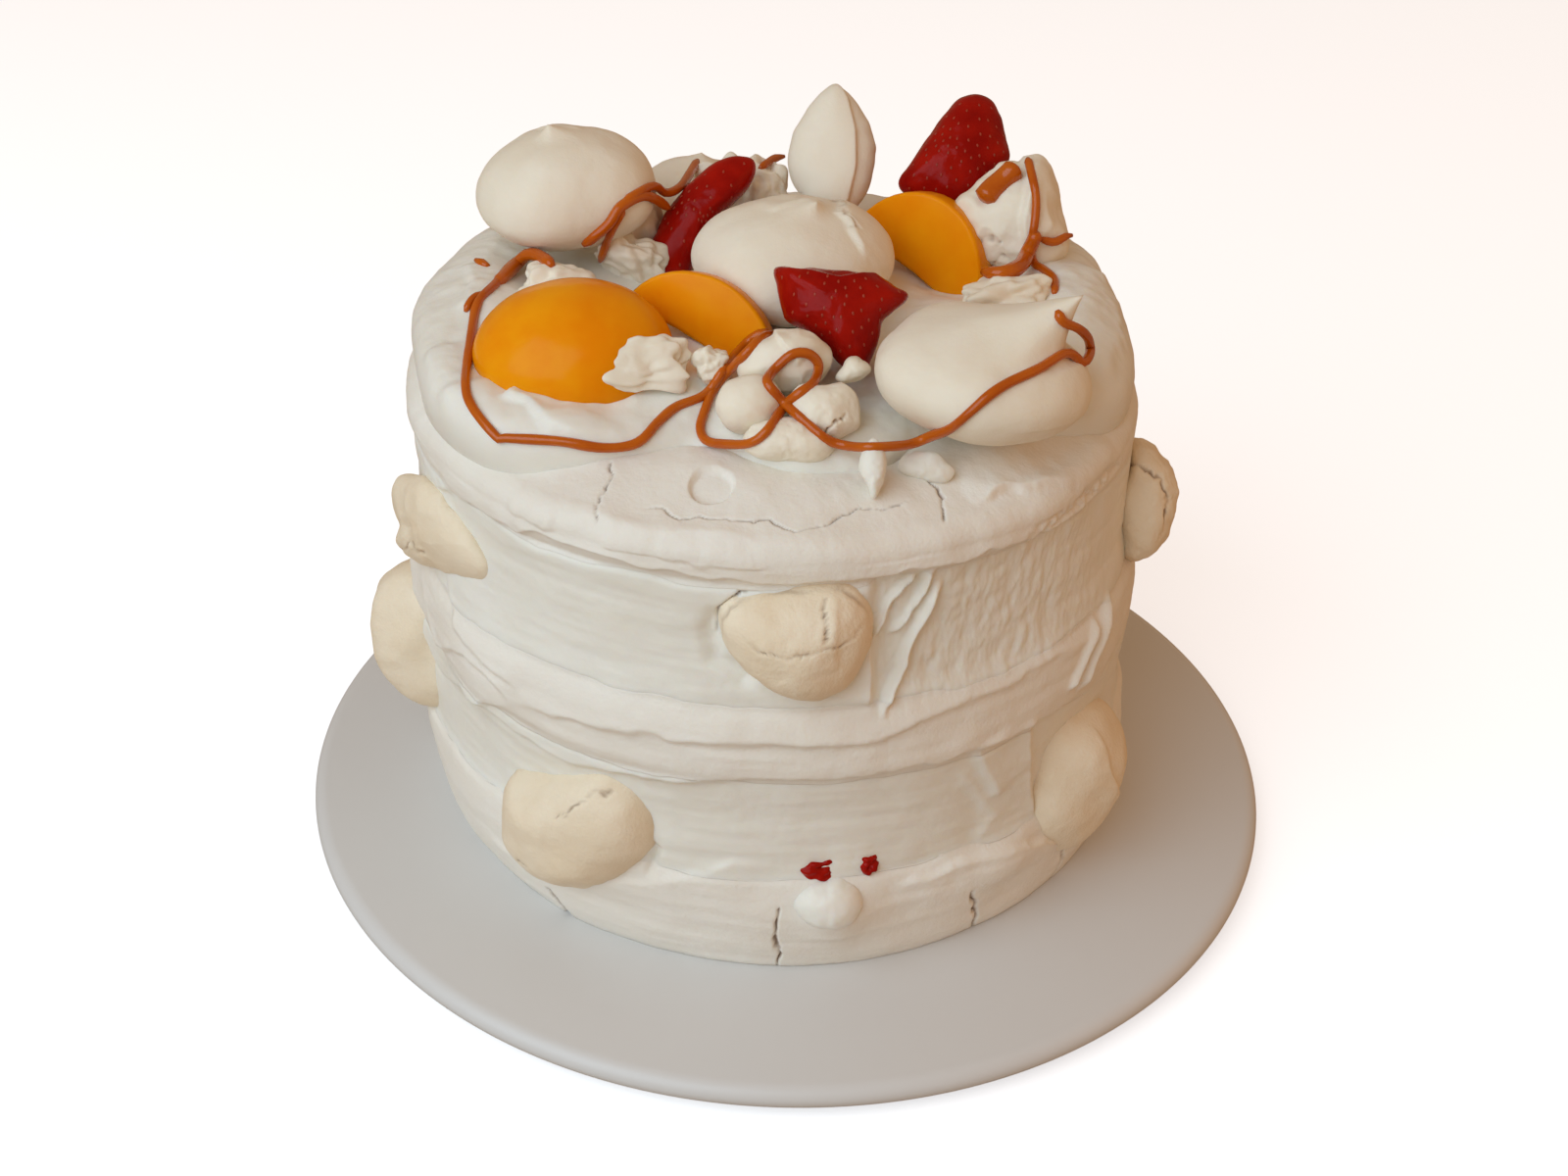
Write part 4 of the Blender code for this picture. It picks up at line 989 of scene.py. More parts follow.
FACING_LUMPS = (
    FacingLump("broken_meringue_right", (55.5, 23.0, 160.5),
               (12.7, 12.4, 12.7, 13.5, 14.5, 16.0, 16.8, 14.9, 15.5, 15.4, 14.8, 14.1, 14.1, 14.7, 16.1, 16.6, 16.0,
                15.6, 14.5, 13.9, 13.9, 13.9, 13.4, 13.6, 14.4, 15.9, 16.0, 16.7, 16.7, 17.2, 16.5, 13.8),
               13, 13, KISS, 0.5, 9.0, 3, 1.0, node="broken_meringue_right",
               marks=(Stroke(((2, 18), (4, 8), (1, -1), (4, -10)), 2.2, 0.9, 9.0, wander=1.0, seed=86),
                      ridge(((-12, 2), (-6, 7), (-2, 13)), -1.8, 3.0, 0.8, 87),
                      crack(((-13, -9), (-8, -7), (-3, -9)), 0.5, 0.6, 0.9, 88),
                      crack(((-8, -14), (-3, -12), (2, -13)), 0.5, 0.6, 0.9, 89))),
    FacingLump("broken_meringue_1", (-3.5, -45.0, 151.0),
               (11.3, 10.0, 8.6, 7.3, 6.4, 6.6, 7.3, 9.6, 11.7, 12.2, 9.6, 9.0, 9.0, 9.0, 9.8, 10.6),
               9, 9, KISS, 0.35, 7.0, 4, 0.7, node="broken_meringue_1",
               marks=(Stroke(((-3, 8), (-1, 2), (3, -4)), 0.9, 0.8, 5.0, seed=90),)),
    FacingLump("broken_meringue_2", (-11.8, -58.9, 144.7),
               (7.9, 8.1, 8.4, 8.3, 7.8, 7.6, 7.9, 8.2, 8.4, 7.8, 7.4, 6.9, 6.5, 6.5, 7.0, 7.2),
               8, 9, KISS, 0.25, 7.0, 5, node="broken_meringue_2"),
    FacingLump("broken_meringue_3", (5.7, -61.4, 145.4),
               (9.2, 9.0, 8.4, 7.8, 7.4, 7.6, 8.4, 8.8, 8.8, 7.9, 6.9, 6.4, 6.6, 8.0, 8.4, 9.4),
               8, 9, KISS, 0.4, 6.0, 6, 0.8, node="broken_meringue_3",
               marks=(crack(((5, -2), (2, -4), (0, -7)), 0.7, 0.5, 1.2, 91),)),
    FacingLump("broken_meringue_4", (-2.6, -68.0, 140.4),
               (11.8, 8.4, 7.0, 6.2, 6.0, 6.4, 7.6, 9.6, 11.1, 8.5, 5.8, 4.8, 4.6, 5.0, 6.6, 9.8),
               6, 7, KISS, 0.4, 5.0, 7, 0.6, node="broken_meringue_4"),
    FacingLump("kiss_half_standing", (7.6, 49.7, 168.6),
               (11.6, 11.2, 11.3, 11.8, 12.2, 13.1, 14.4, 16.0, 17.3, 15.4, 13.4, 12.2, 11.4, 11.2, 11.4, 11.4, 11.8,
                12.5, 13.3, 14.1, 14.8, 15.5, 17.0, 18.5, 19.5, 19.0, 17.5, 15.8, 14.2, 12.8, 12.1, 11.6),
               6.5, 8, KISS, 0.15, 9.0, 12, node="kiss_half_standing", square=0.8,
               marks=(Stroke(((2.0, -20.0), (4.6, -5.4), (4.6, 2.7), (3.0, 10.9), (-0.3, 19.0)), 1.7, 0.9, 16.0,
                             wander=0.1, seed=92),)),
    FacingLump("meringue_crumb_1", (12.2, -50.2, 150.7),
               (4.6, 4.4, 3.8, 3.6, 3.4, 3.1, 2.8, 2.8, 3.4, 4.6, 4.2, 3.1, 2.6, 2.6, 2.9, 3.6), 3.5, 6, KISS, 0.3,
               4.0, 13, 0.5, node="meringue_crumb_1", segments=90, rings=48),
    FacingLump("cream_spike", (17.3, -77.8, 138.3),
               (3.0, 3.4, 4.2, 6.0, 8.5, 6.0, 4.4, 3.6, 3.0, 2.6, 2.5, 3.0, 5.4, 3.7, 3.0, 2.9), 2.6, 4, CREAM, 0.3,
               4.0, 14, segments=90, rings=48),
    FacingLump("cream_dab", (29.9, -69.4, 134.9),
               (6.7, 5.4, 5.4, 5.2, 5.0, 5.2, 5.6, 6.5, 6.0, 3.7, 2.8, 2.4, 2.5, 3.1, 4.3, 6.1), 2.4, 5, CREAM, 0.3,
               4.0, 15, segments=90, rings=48),
    FacingLump("cream_bulb", (10.9, -97.6, 24.4),
               (8.8, 8.6, 7.9, 7.7, 7.1, 7.4, 7.7, 8.4, 9.0, 8.3, 7.6, 7.3, 7.0, 7.6, 8.3, 8.7), 6.2, 8, CREAM, 0.3,
               6.0, 16, segments=120, rings=64),
    FacingLump("cream_smear", (51.7, -79.6, 21.4),
               (5.2, 5.5, 4.2, 3.8, 3.2, 3.2, 3.8, 4.3, 4.9, 4.9, 4.7, 3.9, 3.2, 3.0, 3.3, 4.6), 4.5, 5, CREAM, 0.4,
               4.0, 17, segments=90, rings=48),
    FacingLump("side_kiss_01", (-91.6, -43.4, 97.9),
               (9.5, 8.7, 8.4, 8.2, 8.2, 8.6, 9.4, 10.5, 12.4, 14.8, 16.7, 16.9, 16.0, 13.7, 11.6, 10.2, 10.7, 11.7,
                11.2, 10.7, 10.1, 9.9, 9.7, 9.8, 10.4, 11.5, 13.4, 16.4, 18.5, 16.4, 13.2, 11.0),
               13.5, 13, BAKED, 0.35, 7.0, 18, 0.8, (1.25, 0.4), node="side_kiss_01", broad=1.26,
               marks=(crack(((-14, -6), (-8, -3), (-3, -6)), 0.6, 0.5, 0.8, 93),
                      Stroke(((14, -4), (8, 6), (-4, 14)), 0.7, 0.9, 6.0, wander=0.5, seed=94))),
    FacingLump("side_kiss_06", (92.8, -15.8, 97.3),
               (9.4, 9.9, 10.1, 10.5, 11.3, 12.5, 13.5, 15.2, 16.8, 17.0, 15.3, 12.7, 11.4, 11.0, 11.0, 11.0, 11.0,
                11.0, 11.0, 11.0, 11.8, 13.1, 15.0, 17.0, 17.0, 15.2, 13.4, 12.2, 10.9, 10.3, 9.7, 9.3),
               14, 15, BAKED, 0.5, 6.0, 20, 0.9, node="side_kiss_06",
               marks=(crack(((-5, 10.5), (2.7, 4.5), (4.8, -1.8), (4.2, -8.6)), 0.8, 0.5, 1.2, 96),)),
)


KISS_SUNK = 4.0


@dataclass
class SideKiss:
    """A baked kiss pressed into the side."""

    index: int
    azimuth: float
    height: float
    wide: float
    tall: float
    proud: float
    roll: float
    tilt: float
    reach: tuple[float, ...] = ()
    marks: tuple[Stroke, ...] = ()
    rings: int = 80
    segments: int = 150

    def build(self) -> bpy.types.Object:
        """Shapes the kiss and sets it into the side."""
        name = f"side_kiss_{self.index:02d}"
        mesh = ring_ladder(self.rings, self.segments, name)
        ring, azimuth = ladder_places(mesh)
        angle = np.radians(azimuth)
        lift = -np.cos(ring / (self.rings + 1) * pi)
        across = np.sqrt(np.maximum(0.0, 1.0 - lift * lift))
        unit = np.stack([across * np.cos(angle), across * np.sin(angle), lift], axis=-1)
        shift = Vector((self.index * 2.7, 0.0, self.index))
        wide, tall = self.wide / 2, self.tall / 2
        if self.reach:
            wide = tall = reach_at(self.reach, azimuth)
        dent = np.array([1.0 + 0.12 * noise.noise(Vector(point) * 1.6 + shift) for point in unit])
        dent = np.stack([np.ones_like(dent)] * 2 + [dent], axis=-1) if self.reach else dent[:, None]
        deep = self.proud + KISS_SUNK
        points = np.stack([unit[:, 0] * wide, unit[:, 1] * tall, unit[:, 2] * deep], axis=-1) * dent
        lumps = 0.3 * rough_noise(points, 7.0, self.index, 3)
        relief, cuts = drawn(self.marks, points[:, :2], unit[:, 2] > 0)
        points += unit * (lumps + relief)[:, None]
        seat = side_place(self.azimuth, self.height, KISS_SUNK)
        turn = (Matrix.Rotation(radians(self.azimuth), 4, "Z") @ Matrix.Rotation(radians(90 - self.tilt), 4, "X")
                @ Matrix.Rotation(radians(self.roll), 4, "Z"))
        turn.translation = Vector(seat)
        # Painted shade inside the kiss's cracks.
        shade_cracks(mesh, cuts * CRACK_SHADE_GAIN)
        return shaped(mesh, moved(points, np.array(turn)), f"{name}_baked", BAKED, name)


SIDE_KISSES = (
    SideKiss(2, -79, 48.0, 35, 47, 16.0, 4, -13),
    SideKiss(3, 4.4, 102.0, 38, 33, 11, 0, 0,
             (17.9, 18.5, 19.1, 19.6, 19.7, 18.7, 16.9, 15.8, 15.2, 15.2, 15.6, 16.8, 18.1, 19.6, 19.6, 18.2, 16.9,
              15.5, 14.7, 13.9, 13.8, 13.9, 14.2, 14.6, 15.2, 15.7, 16.2, 16.6, 17.4, 17.2, 17.2, 17.4),
             (crack(((6.6, 14.5), (6.0, 10.0), (6.3, 5.5)), 0.7, 0.45, 0.8, 97),
              Stroke(((8.0, -2.0), (7.4, 6.0), (8.2, 16.0)), 0.6, 1.1, 9.0, wander=0.4, seed=103),
              crack(((-13.0, 5.5), (-5.0, 3.8), (3.0, 4.0), (9.0, 5.5), (16.5, 8.4)), 0.55, 0.3, 1.0, 98),
              crack(((-17.6, -1.0), (-17.4, 3.4), (-17.6, 7.3), (-15.8, 10.6), (-12.5, 12.5), (-9.1, 13.7),
                    (-2.9, 14.6), (3.0, 15.1), (10.2, 15.2), (13.5, 13.5), (15.8, 10.6), (17.2, 7.1), (17.4, 0.0)),
                    0.45, 0.34, 0.2, 104))),
    SideKiss(4, -31.2, 33.6, 43, 35, 12, 18, 0,
             (25.6, 26.8, 27.5, 27.6, 26.6, 22.2, 19.0, 17.2, 16.2, 16.0, 16.5, 18.0, 20.8, 21.9, 22.2, 22.8, 24.2,
              26.3, 26.0, 24.8, 23.8, 22.0, 20.9, 19.6, 19.1, 18.2, 18.1, 18.3, 18.7, 19.8, 21.4, 24.0),
             (crack(((21.5, 15.8), (16.8, 15.0), (11.0, 13.2), (4.5, 8.9)), 0.7, 0.42, 1.2, 99),
              crack(((-14.0, -6.5), (-11.0, -7.5)), 0.8, 0.7, 0.4, 101))),
    SideKiss(5, 55.6, 33, 44, 44, 12, 0, 0,
             (21.0, 21.5, 22.0, 21.5, 21.6, 22.8, 22.0, 20.6, 20.6, 21.4, 22.6, 23.6, 22.4, 21.2, 20.8, 20.6),
             (Stroke(((6.0, -14.0), (2.0, -2.0), (-3.0, 9.0), (-2.0, 20.0)), 1.1, 1.0, 7.0, wander=0.8, seed=95),)),
    SideKiss(7, 112, 44, 40, 34, 11, 12, 0),
    SideKiss(8, 140, 101, 38, 34, 11, -14, 0),
    SideKiss(9, 176, 36, 42, 35, 12, 8, 0),
    SideKiss(10, -152, 98, 39, 33, 12, 20, 0),
    SideKiss(11, -120, 42, 40, 36, 11, -16, 0),
)


@dataclass
class Peach:
    """A glossy slice of peach: a broad cheek lying on its cut, or a wedge standing on one."""

    name: str
    place: tuple[float, float, float]
    turn: tuple[float, float, float]
    length: float
    height: float
    spread: float = 0.0
    width: float = 0.0

    def cheek(self) -> bmesh.types.BMesh:
        """A broad slice lying on its flat cut."""
        bm = bmesh.new()
        bmesh.ops.create_uvsphere(bm, u_segments=96, v_segments=64, radius=1.0)
        for vert in bm.verts:
            x, y, z = vert.co
            vert.co = Vector((x * self.length / 2, y * self.width / 2, max(z, -0.25) * self.height))
        return bm

    def wedge(self) -> bmesh.types.BMesh:
        """A half oval spun about its straight inner edge."""
        bm = bmesh.new()
        points = []
        for step in range(25):
            angle = pi * step / 24
            points.append(bm.verts.new((cos(angle) * self.length / 2, 0.0, sin(angle) * self.height)))
        for share in (-0.7, -0.5, -0.25, 0.0, 0.25, 0.5, 0.7):
            hollow = 0.16 * self.height * (1.0 - (2 * share) ** 2 * 0.45)
            points.append(bm.verts.new((share * self.length * 0.65, 0.0, hollow)))
        face = bm.faces.new(points)
        bmesh.ops.spin(bm, geom=[face] + list(face.edges) + list(face.verts), cent=(0, 0, 0), axis=(1, 0, 0),
                       angle=radians(self.spread), steps=12, use_merge=False)
        bmesh.ops.recalc_face_normals(bm, faces=bm.faces)
        sharp = [edge for edge in bm.edges if edge.is_manifold and edge.calc_face_angle() > 0.8]
        bmesh.ops.bevel(bm, geom=sharp, offset=0.9, segments=3, profile=0.5, affect="EDGES", material=-1)
        return bm

    def build(self) -> bpy.types.Object:
        """Shapes the slice and puts it in its place."""
        bm = self.wedge() if self.spread else self.cheek()
        mesh = mesh_from(bm, self.name)
        points = coordinates(mesh)
        points[:, 2] += 0.3 * rough_noise(points, 12.0, 50, 2)
        return shaped(mesh, moved(points, turn_matrix(self.place, self.turn)), f"{self.name}_flesh", PEACH, self.name)


PEACHES = (
    Peach("peach_slice_1", (-56.2, -35.8, 146), (14, -4, -6), 50, 16.5, width=42),
    Peach("peach_slice_2", (-27, -26, 142), (-62, 24, -24), 44, 20, spread=50),
    Peach("peach_slice_3", (27.6, 19, 142.4), (-64, 22, -36), 43, 26, spread=55),
)


SEED_TURN = 2.39996
SEED_SPREAD = 0.94
SEED_SHAPE = (0.30, 0.50, 0.15)


@dataclass
class CutBerry(FacingLump):
    """A piece of strawberry with seeds over its skin."""

    seeds: int = 60

    def build(self) -> bpy.types.Object:
        """Shapes the flesh, then sets a seed in each of a spiral of places on its front."""
        flesh = super().build()
        bm = bmesh.new()
        points = coordinates(flesh.data)
        normals = np.empty(len(points) * 3)
        flesh.data.vertices.foreach_get("normal", normals)
        normals = normals.reshape(-1, 3)
        local = (points / MM - self.seat()) @ np.array(FACING)
        for index in range(self.seeds):
            share = (index + 0.5) / self.seeds
            turn = index * SEED_TURN
            spot = np.array([cos(turn), sin(turn)]) * share ** 0.5 * SEED_SPREAD
            reach = float(reach_at(self.reach, np.array([turn * 180 / pi]))[0])
            target = spot * reach
            off = np.hypot(local[:, 0] - target[0], local[:, 1] - target[1]) + 100.0 * (local[:, 2] < 0)
            nearest = int(np.argmin(off))
            lean = Vector(normals[nearest]).to_track_quat("Z", "Y").to_matrix().to_4x4()
            lean.translation = Vector(points[nearest])
            shape = Matrix.Diagonal((*(side * MM for side in SEED_SHAPE), 1.0))
            bmesh.ops.create_icosphere(bm, subdivisions=2, radius=1.0, matrix=lean @ shape)
        seeds = mesh_from(bm, f"{self.name}_seeds")
        seeds.shade_smooth()
        show(seeds, f"{self.name}_seeds", SEED)
        return flesh


BERRIES = (
    CutBerry("strawberry_left", (-28.5, 27.6, 155.9),
             (5.4, 6.4, 9.4, 17.0, 21.2, 19.9, 17.0, 14.0, 11.6, 10.0, 9.0, 8.2, 8.0, 8.0, 8.2, 8.9, 9.8, 11.0, 13.0,
              17.6, 21.8, 21.9, 20.0, 15.4, 10.0, 6.6, 5.4, 5.0, 5.0, 5.0, 5.0, 5.0),
             7, 8, STRAWBERRY, 0.25, 6.0, 8, node="strawberry_left", square=0.85, seeds=44),
    CutBerry("strawberry_centre", (8.8, -32.6, 158.1),
             (13.6, 17.2, 14.8, 12.6, 11.3, 10.4, 10.0, 9.9, 9.8, 10.1, 10.9, 12.3, 14.2, 18.6, 16.1, 14.7, 13.8,
              13.1, 10.8, 9.5, 9.0, 8.9, 9.3, 10.5, 12.8, 14.9, 16.1, 14.1, 12.7, 11.6, 11.0, 11.1),
             9, 10, STRAWBERRY, 0.25, 6.0, 9, node="strawberry_centre", square=0.8, seeds=48,
             marks=(Stroke(((15.0, 8.6), (0.0, 6.4), (-16.0, 9.6)), 1.2, 0.8, 5.0, wander=0.3, seed=102),)),
    CutBerry("strawberry_back", (41.5, 45.2, 168.3),
             (14.4, 14.4, 14.7, 15.4, 16.6, 18.0, 18.6, 17.8, 16.0, 13.3, 11.6, 10.7, 10.2, 10.0, 10.2, 10.9, 12.1,
              14.2, 17.6, 17.5, 16.3, 16.3, 16.9, 17.8, 17.2, 16.9, 16.4, 15.4, 14.0, 12.6, 12.4, 13.2),
             9, 12, STRAWBERRY, 0.3, 6.0, 10, node="strawberry_back", square=0.9, seeds=70),
)


STRAND_STEPS = 24
STRAND_SPACING = 1.3
STRAND_FALL = 1.1
STRAND_CLING = 0.4
STRAND_SUNK = 0.28


@dataclass
class Drizzle:
    """A strand of caramel that lies on whatever is seen behind its path.

    The path is where the lines of sight through it cross a level 150 mm above the plate.
    """

    name: str
    path: tuple[tuple[float, float], ...]
    width: float = 2.4

    def sights(self) -> list[Vector]:
        """Evenly spaced points on a smooth curve through the path, in metres."""
        path = (self.path[0], *self.path, self.path[-1])
        ends = [Vector((x, y, SIGHT_LEVEL + PLATE_HEIGHT)) * MM for x, y in path]
        fine = []
        for before, start, end, after in zip(ends, ends[1:], ends[2:], ends[3:]):
            fine += [between(before, start, end, after, step / STRAND_STEPS) for step in range(STRAND_STEPS)]
        kept = [fine[0]]
        for point in fine:
            if (point - kept[-1]).length > STRAND_SPACING * MM:
                kept.append(point)
        return kept

    def laid(self, trees: list[BVHTree], eye: Vector) -> list[Vector]:
        """The strand's middle line, which drops no faster than caramel would from one support to the next."""
        sights = self.sights()
        ways = [(point - eye).normalized() for point in sights]
        depths = []
        for way in ways:
            hits = [hit[3] for tree in trees if (hit := tree.ray_cast(eye, way))[0] is not None]
            depths.append(min(hits) if hits else 1e3)
        spots = np.array([list(point) for point in sights])
        run = np.concatenate([[0.0], np.cumsum(np.linalg.norm(np.diff(spots, axis=0), axis=1))])
        depth = np.min(np.array(depths)[None, :] + STRAND_FALL * np.abs(run[:, None] - run[None, :]), axis=1)
        smooth = np.convolve(np.pad(depth, 2, mode="edge"), np.ones(5) / 5, mode="valid")
        depth = np.minimum(smooth, depth + STRAND_CLING * self.width * MM) - STRAND_SUNK * self.width * MM
        return [eye + way * float(far) for way, far in zip(ways, depth)]

    def build(self, trees: list[BVHTree], eye: Vector) -> bpy.types.Object:
        """Draws the strand as a round thread with a slightly uneven width and tapered ends."""
        line = self.laid(trees, eye)
        curve = bpy.data.curves.new(self.name, "CURVE")
        curve.dimensions = "3D"
        curve.bevel_depth = self.width / 2 * MM
        curve.bevel_resolution = 4
        curve.use_fill_caps = True
        spline = curve.splines.new("POLY")
        spline.points.add(len(line) - 1)
        for index, (slot, point) in enumerate(zip(spline.points, line)):
            end = min(index, len(line) - 1 - index)
            slot.co = (*point, 1.0)
            slot.radius = (1.0 + 0.14 * noise.noise(point * 120.0)) * min(1.0, 0.45 + 0.3 * end)
        guide = bpy.data.objects.new(self.name, curve)
        bpy.context.scene.collection.objects.link(guide)
        graph = bpy.context.evaluated_depsgraph_get()
        mesh = bpy.data.meshes.new_from_object(guide.evaluated_get(graph))
        bpy.data.objects.remove(guide, do_unlink=True)
        face_outwards(mesh)
        return show(mesh, self.name, CARAMEL)


DRIZZLES = (
    Drizzle("caramel_left_loop", (
        (-74.3, 13.0), (-77.1, 5.2), (-79.4, -6.1), (-82.2, -18.1), (-80.6, -40.3), (-78.7, -60.8), (-75.3, -72.8),
        (-67.7, -86.7), (-65.5, -87.0), (-53.8, -87.7), (-43.7, -90.1), (-36.3, -87.4), (-32.2, -77.1), (-28.6, -69.8),
        (-22.2, -63.0), (-18.2, -49.2), (-12.8, -34.0), (-8.1, -28.1))),
    Drizzle("caramel_front_loops", (
        (-7.6, -29.2), (-10.4, -33.8), (-15.9, -47.5), (-20.1, -59.4), (-22.3, -74.1), (-22.4, -81.1), (-20.6, -85.6),
        (-16.6, -86.7), (-11.2, -85.9), (-7.6, -80.2), (-3.8, -68.2), (-0.5, -61.6), (3.0, -55.4), (4.1, -46.1),
        (1.7, -40.5), (-1.9, -40.7), (-5.3, -46.8), (-8.0, -55.1), (-6.2, -61.0), (-2.7, -68.1), (1.9, -76.3),
        (6.4, -83.4), (10.8, -85.8), (15.2, -86.0), (24.0, -84.5), (29.7, -80.1), (34.4, -76.1), (39.4, -67.8),
        (44.5, -59.1), (49.7, -52.3), (57.4, -44.6), (64.2, -36.2), (66.5, -36.6), (68.5, -40.7), (70.8, -35.2),
        (71.2, -27.0), (69.3, -21.6), (66.0, -17.9), (65.0, -10.5))),
    Drizzle("caramel_right_rise", (
        (65.4, -1.5), (66.1, 7.7), (64.0, 13.8), (61.8, 18.1), (62.1, 29.8), (64.7, 47.1), (66.6, 65.3), (66.9, 84.4),
        (66.8, 96.3)), 2.3),
    Drizzle("caramel_right_arm", ((64.7, 34.7), (68.5, 32.3), (72.4, 36.7), (74.4, 37.5)), 2.2),
    Drizzle("caramel_right_foot", ((47.4, 11.3), (52.0, 10.4), (57.6, 15.2), (61.2, 26.5), (64.8, 39.5)), 4.0),
    Drizzle("caramel_left_tail", ((-84.5, -22.9), (-83.9, -15.3), (-81.3, -11.0)), 2.0),
    Drizzle("caramel_left_crest", ((-79.4, -6.1), (-76.4, 3.3), (-73.5, 13.0), (-69.7, 12.0), (-65.7, 6.0)), 3.4),
    Drizzle("caramel_left_stub", ((-86.7, 8.8), (-82.5, 4.8)), 2.4),
    Drizzle("caramel_net_low", ((-59.4, 20.6), (-54.1, 34.4), (-51.3, 48.6), (-44.9, 56.3), (-37.4, 46.8)), 2.8),
    Drizzle("caramel_net_side", ((-53.9, 10.0), (-52.9, 27.7), (-50.6, 47.2)), 2.2),
    Drizzle("caramel_net_high", ((-51.4, 50.7), (-44.1, 63.8), (-39.5, 59.0), (-35.7, 64.5), (-33.5, 76.0),
                                 (-31.8, 86.4)), 2.5),
    Drizzle("caramel_back", ((-13.5, 80.0), (-9.4, 88.3), (-5.3, 91.0)), 2.3),
    Drizzle("caramel_pool", ((51.0, 60.4), (53.8, 68.0), (57.7, 76.2), (61.2, 83.9), (62.8, 87.6)), 6.4),
)


# Azimuth in degrees, height, width and tallness of each bit of strawberry in the lower filling.
FILLING_BITS = ((7.4, 33.5, 11, 8), (15.0, 33.5, 7, 7), (-62, 25, 4, 9), (128, 37, 11, 7), (-142, 36.5, 10, 7))
FILLING_DEPTH = 12
FILLING_SUNK = 4.1
FILLING_SEED = 20.0


def build_filling() -> None:
    """Bits of strawberry that show where the lower cream meets the bottom disc."""
    for index, (azimuth, height, wide, tall) in enumerate(FILLING_BITS, 1):
        spot = side_place(azimuth, height, FILLING_SUNK)
        BrokenPiece(f"filling_strawberry_{index}", (wide, FILLING_DEPTH, tall), 0.3, FILLING_SEED + index,
                    (spot[0], spot[1], spot[2] - PLATE_HEIGHT), (0, 0, azimuth), 5, STRAWBERRY).build()


def look_from_photo() -> None:
    """The camera where the photograph was taken from."""
    data = bpy.data.cameras.new("photo_camera")
    data.lens = CAMERA_LENS
    data.sensor_width = CAMERA_SENSOR
    data.clip_start = 0.01
    camera = bpy.data.objects.new("photo_camera", data)
    bpy.context.scene.collection.objects.link(camera)
    camera.matrix_world = Matrix.Translation(CAMERA_PLACE) @ FACING.to_4x4()
    bpy.context.scene.camera = camera


@dataclass(frozen=True)
class SoftLight:
    """A square soft light aimed at the middle of the cake."""

    name: str
    place: tuple[float, float, float]
    size: float
    power: float
    colour: tuple[float, float, float]

    def build(self) -> None:
        """Hangs the light in its place."""
        data = bpy.data.lights.new(self.name, "AREA")
        data.size = self.size
        data.energy = self.power
        data.color = self.colour
        lamp = bpy.data.objects.new(self.name, data)
        bpy.context.scene.collection.objects.link(lamp)
        lamp.location = self.place
        lamp.rotation_euler = (Vector(CAKE_MIDDLE) - Vector(self.place)).to_track_quat("-Z", "Y").to_euler()


CAKE_MIDDLE = (0.0, 0.0, 0.10)
LIGHTS = (
    SoftLight("window", (-0.66, -0.78, 0.82), 1.2, 13.0, (0.66, 0.85, 1.0)),
    SoftLight("room", (0.95, -0.15, 0.40), 0.9, 1.15, (1.0, 0.43, 0.13)),
)
WORLD_COLOUR = (1.0, 0.68, 0.43, 1.0)
WORLD_STRENGTH = 0.38
FLOOR_SIZE = 3.0
FLOOR_SEEN = (0.85, 0.85, 0.85, 1.0)
FLOOR_CAST = (0.52, 0.40, 0.29, 1.0)
FLOOR_GLOW = (0.93, 0.96, 1.0, 1.0)
FLOOR_LIFT = 0.62


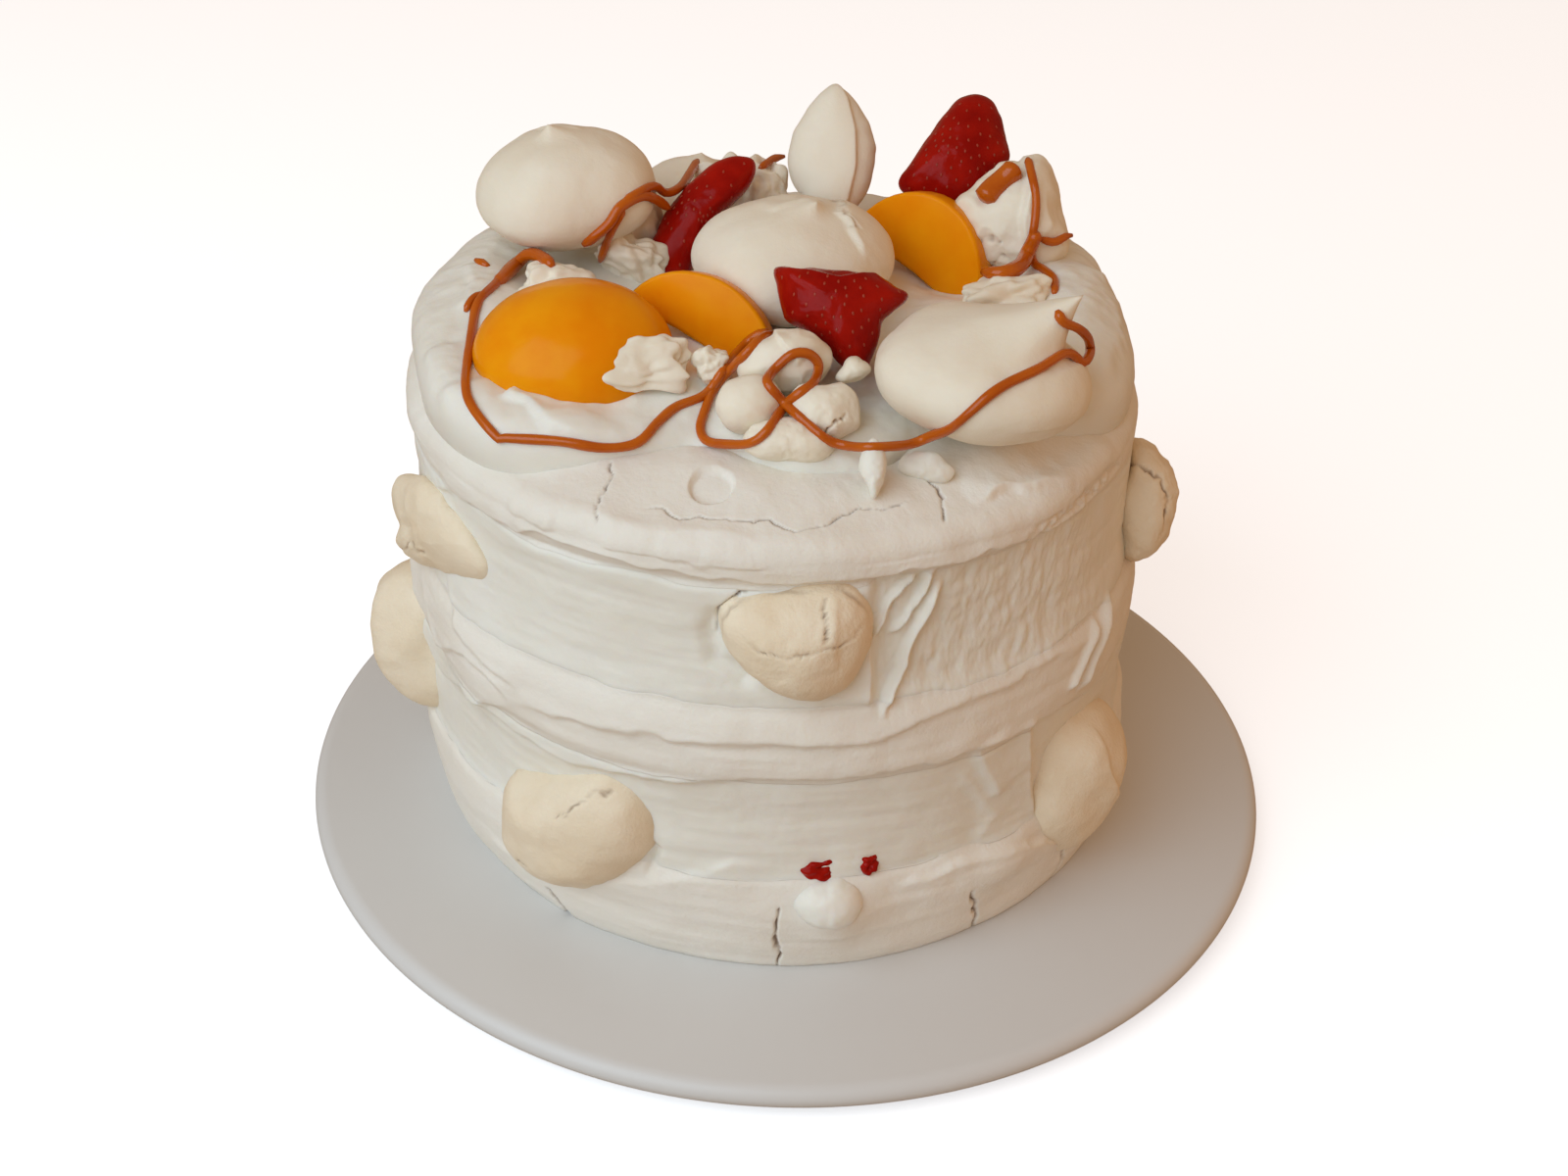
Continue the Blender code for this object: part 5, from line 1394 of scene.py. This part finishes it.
def build_floor() -> None:
    """A pale floor that looks lighter to the camera than to the light that it throws back on the cake."""
    bm = bmesh.new()
    bmesh.ops.create_grid(bm, x_segments=1, y_segments=1, size=FLOOR_SIZE)
    floor = bpy.data.objects.new("floor", mesh_from(bm, "floor"))
    paper = bpy.data.materials.new("floor_paper")
    paper.use_nodes = True
    nodes = paper.node_tree.nodes
    shader = nodes["Principled BSDF"]
    shader.inputs["Roughness"].default_value = 0.9
    shader.inputs["Emission Color"].default_value = FLOOR_GLOW
    seen = nodes.new("ShaderNodeLightPath")
    lift = nodes.new("ShaderNodeMath")
    lift.operation = "MULTIPLY"
    lift.inputs[1].default_value = FLOOR_LIFT
    tone = nodes.new("ShaderNodeMix")
    tone.data_type = "RGBA"
    tone.inputs["A"].default_value = FLOOR_CAST
    tone.inputs["B"].default_value = FLOOR_SEEN
    link = paper.node_tree.links.new
    link(seen.outputs["Is Camera Ray"], lift.inputs[0])
    link(seen.outputs["Is Camera Ray"], tone.inputs["Factor"])
    link(tone.outputs["Result"], shader.inputs["Base Color"])
    link(lift.outputs["Value"], shader.inputs["Emission Strength"])
    floor.data.materials.append(paper)
    bpy.context.scene.collection.objects.link(floor)


def light_scene() -> None:
    """Soft daylight from the front left, in a warm dim room."""
    for light in LIGHTS:
        light.build()
    world = bpy.data.worlds.new("studio")
    world.use_nodes = True
    sky = world.node_tree.nodes["Background"]
    sky.inputs["Color"].default_value = WORLD_COLOUR
    sky.inputs["Strength"].default_value = WORLD_STRENGTH
    bpy.context.scene.world = world
    bpy.context.scene.view_settings.view_transform = "Standard"


def main() -> None:
    """Builds and dresses every piece, then sets the light and the camera."""
    logging.basicConfig(level=logging.INFO, format="%(message)s")
    look_from_photo()
    build_floor()
    light_scene()
    build_plate()
    side = CakeSide(SIDE_FOLDS + SIDE_RIDGES, SIDE_CRACKS)
    for name in list(LEVELS)[:-1]:
        LayerBand(name, DISC if "disc" in name else CREAM, side).build()
    supports = [TopDisc(side).build(), TopCream().build()]
    for kiss in SIDE_KISSES:
        kiss.build()
    build_filling()
    supports += [piece.build() for piece in TOP_KISSES + BROKEN_PIECES + FACING_LUMPS + PEACHES + BERRIES]
    bpy.context.view_layer.update()
    graph = bpy.context.evaluated_depsgraph_get()
    trees = [BVHTree.FromObject(piece, graph) for piece in supports]
    for drizzle in DRIZZLES:
        drizzle.build(trees, bpy.context.scene.camera.location)


if __name__ == "__main__":
    main()
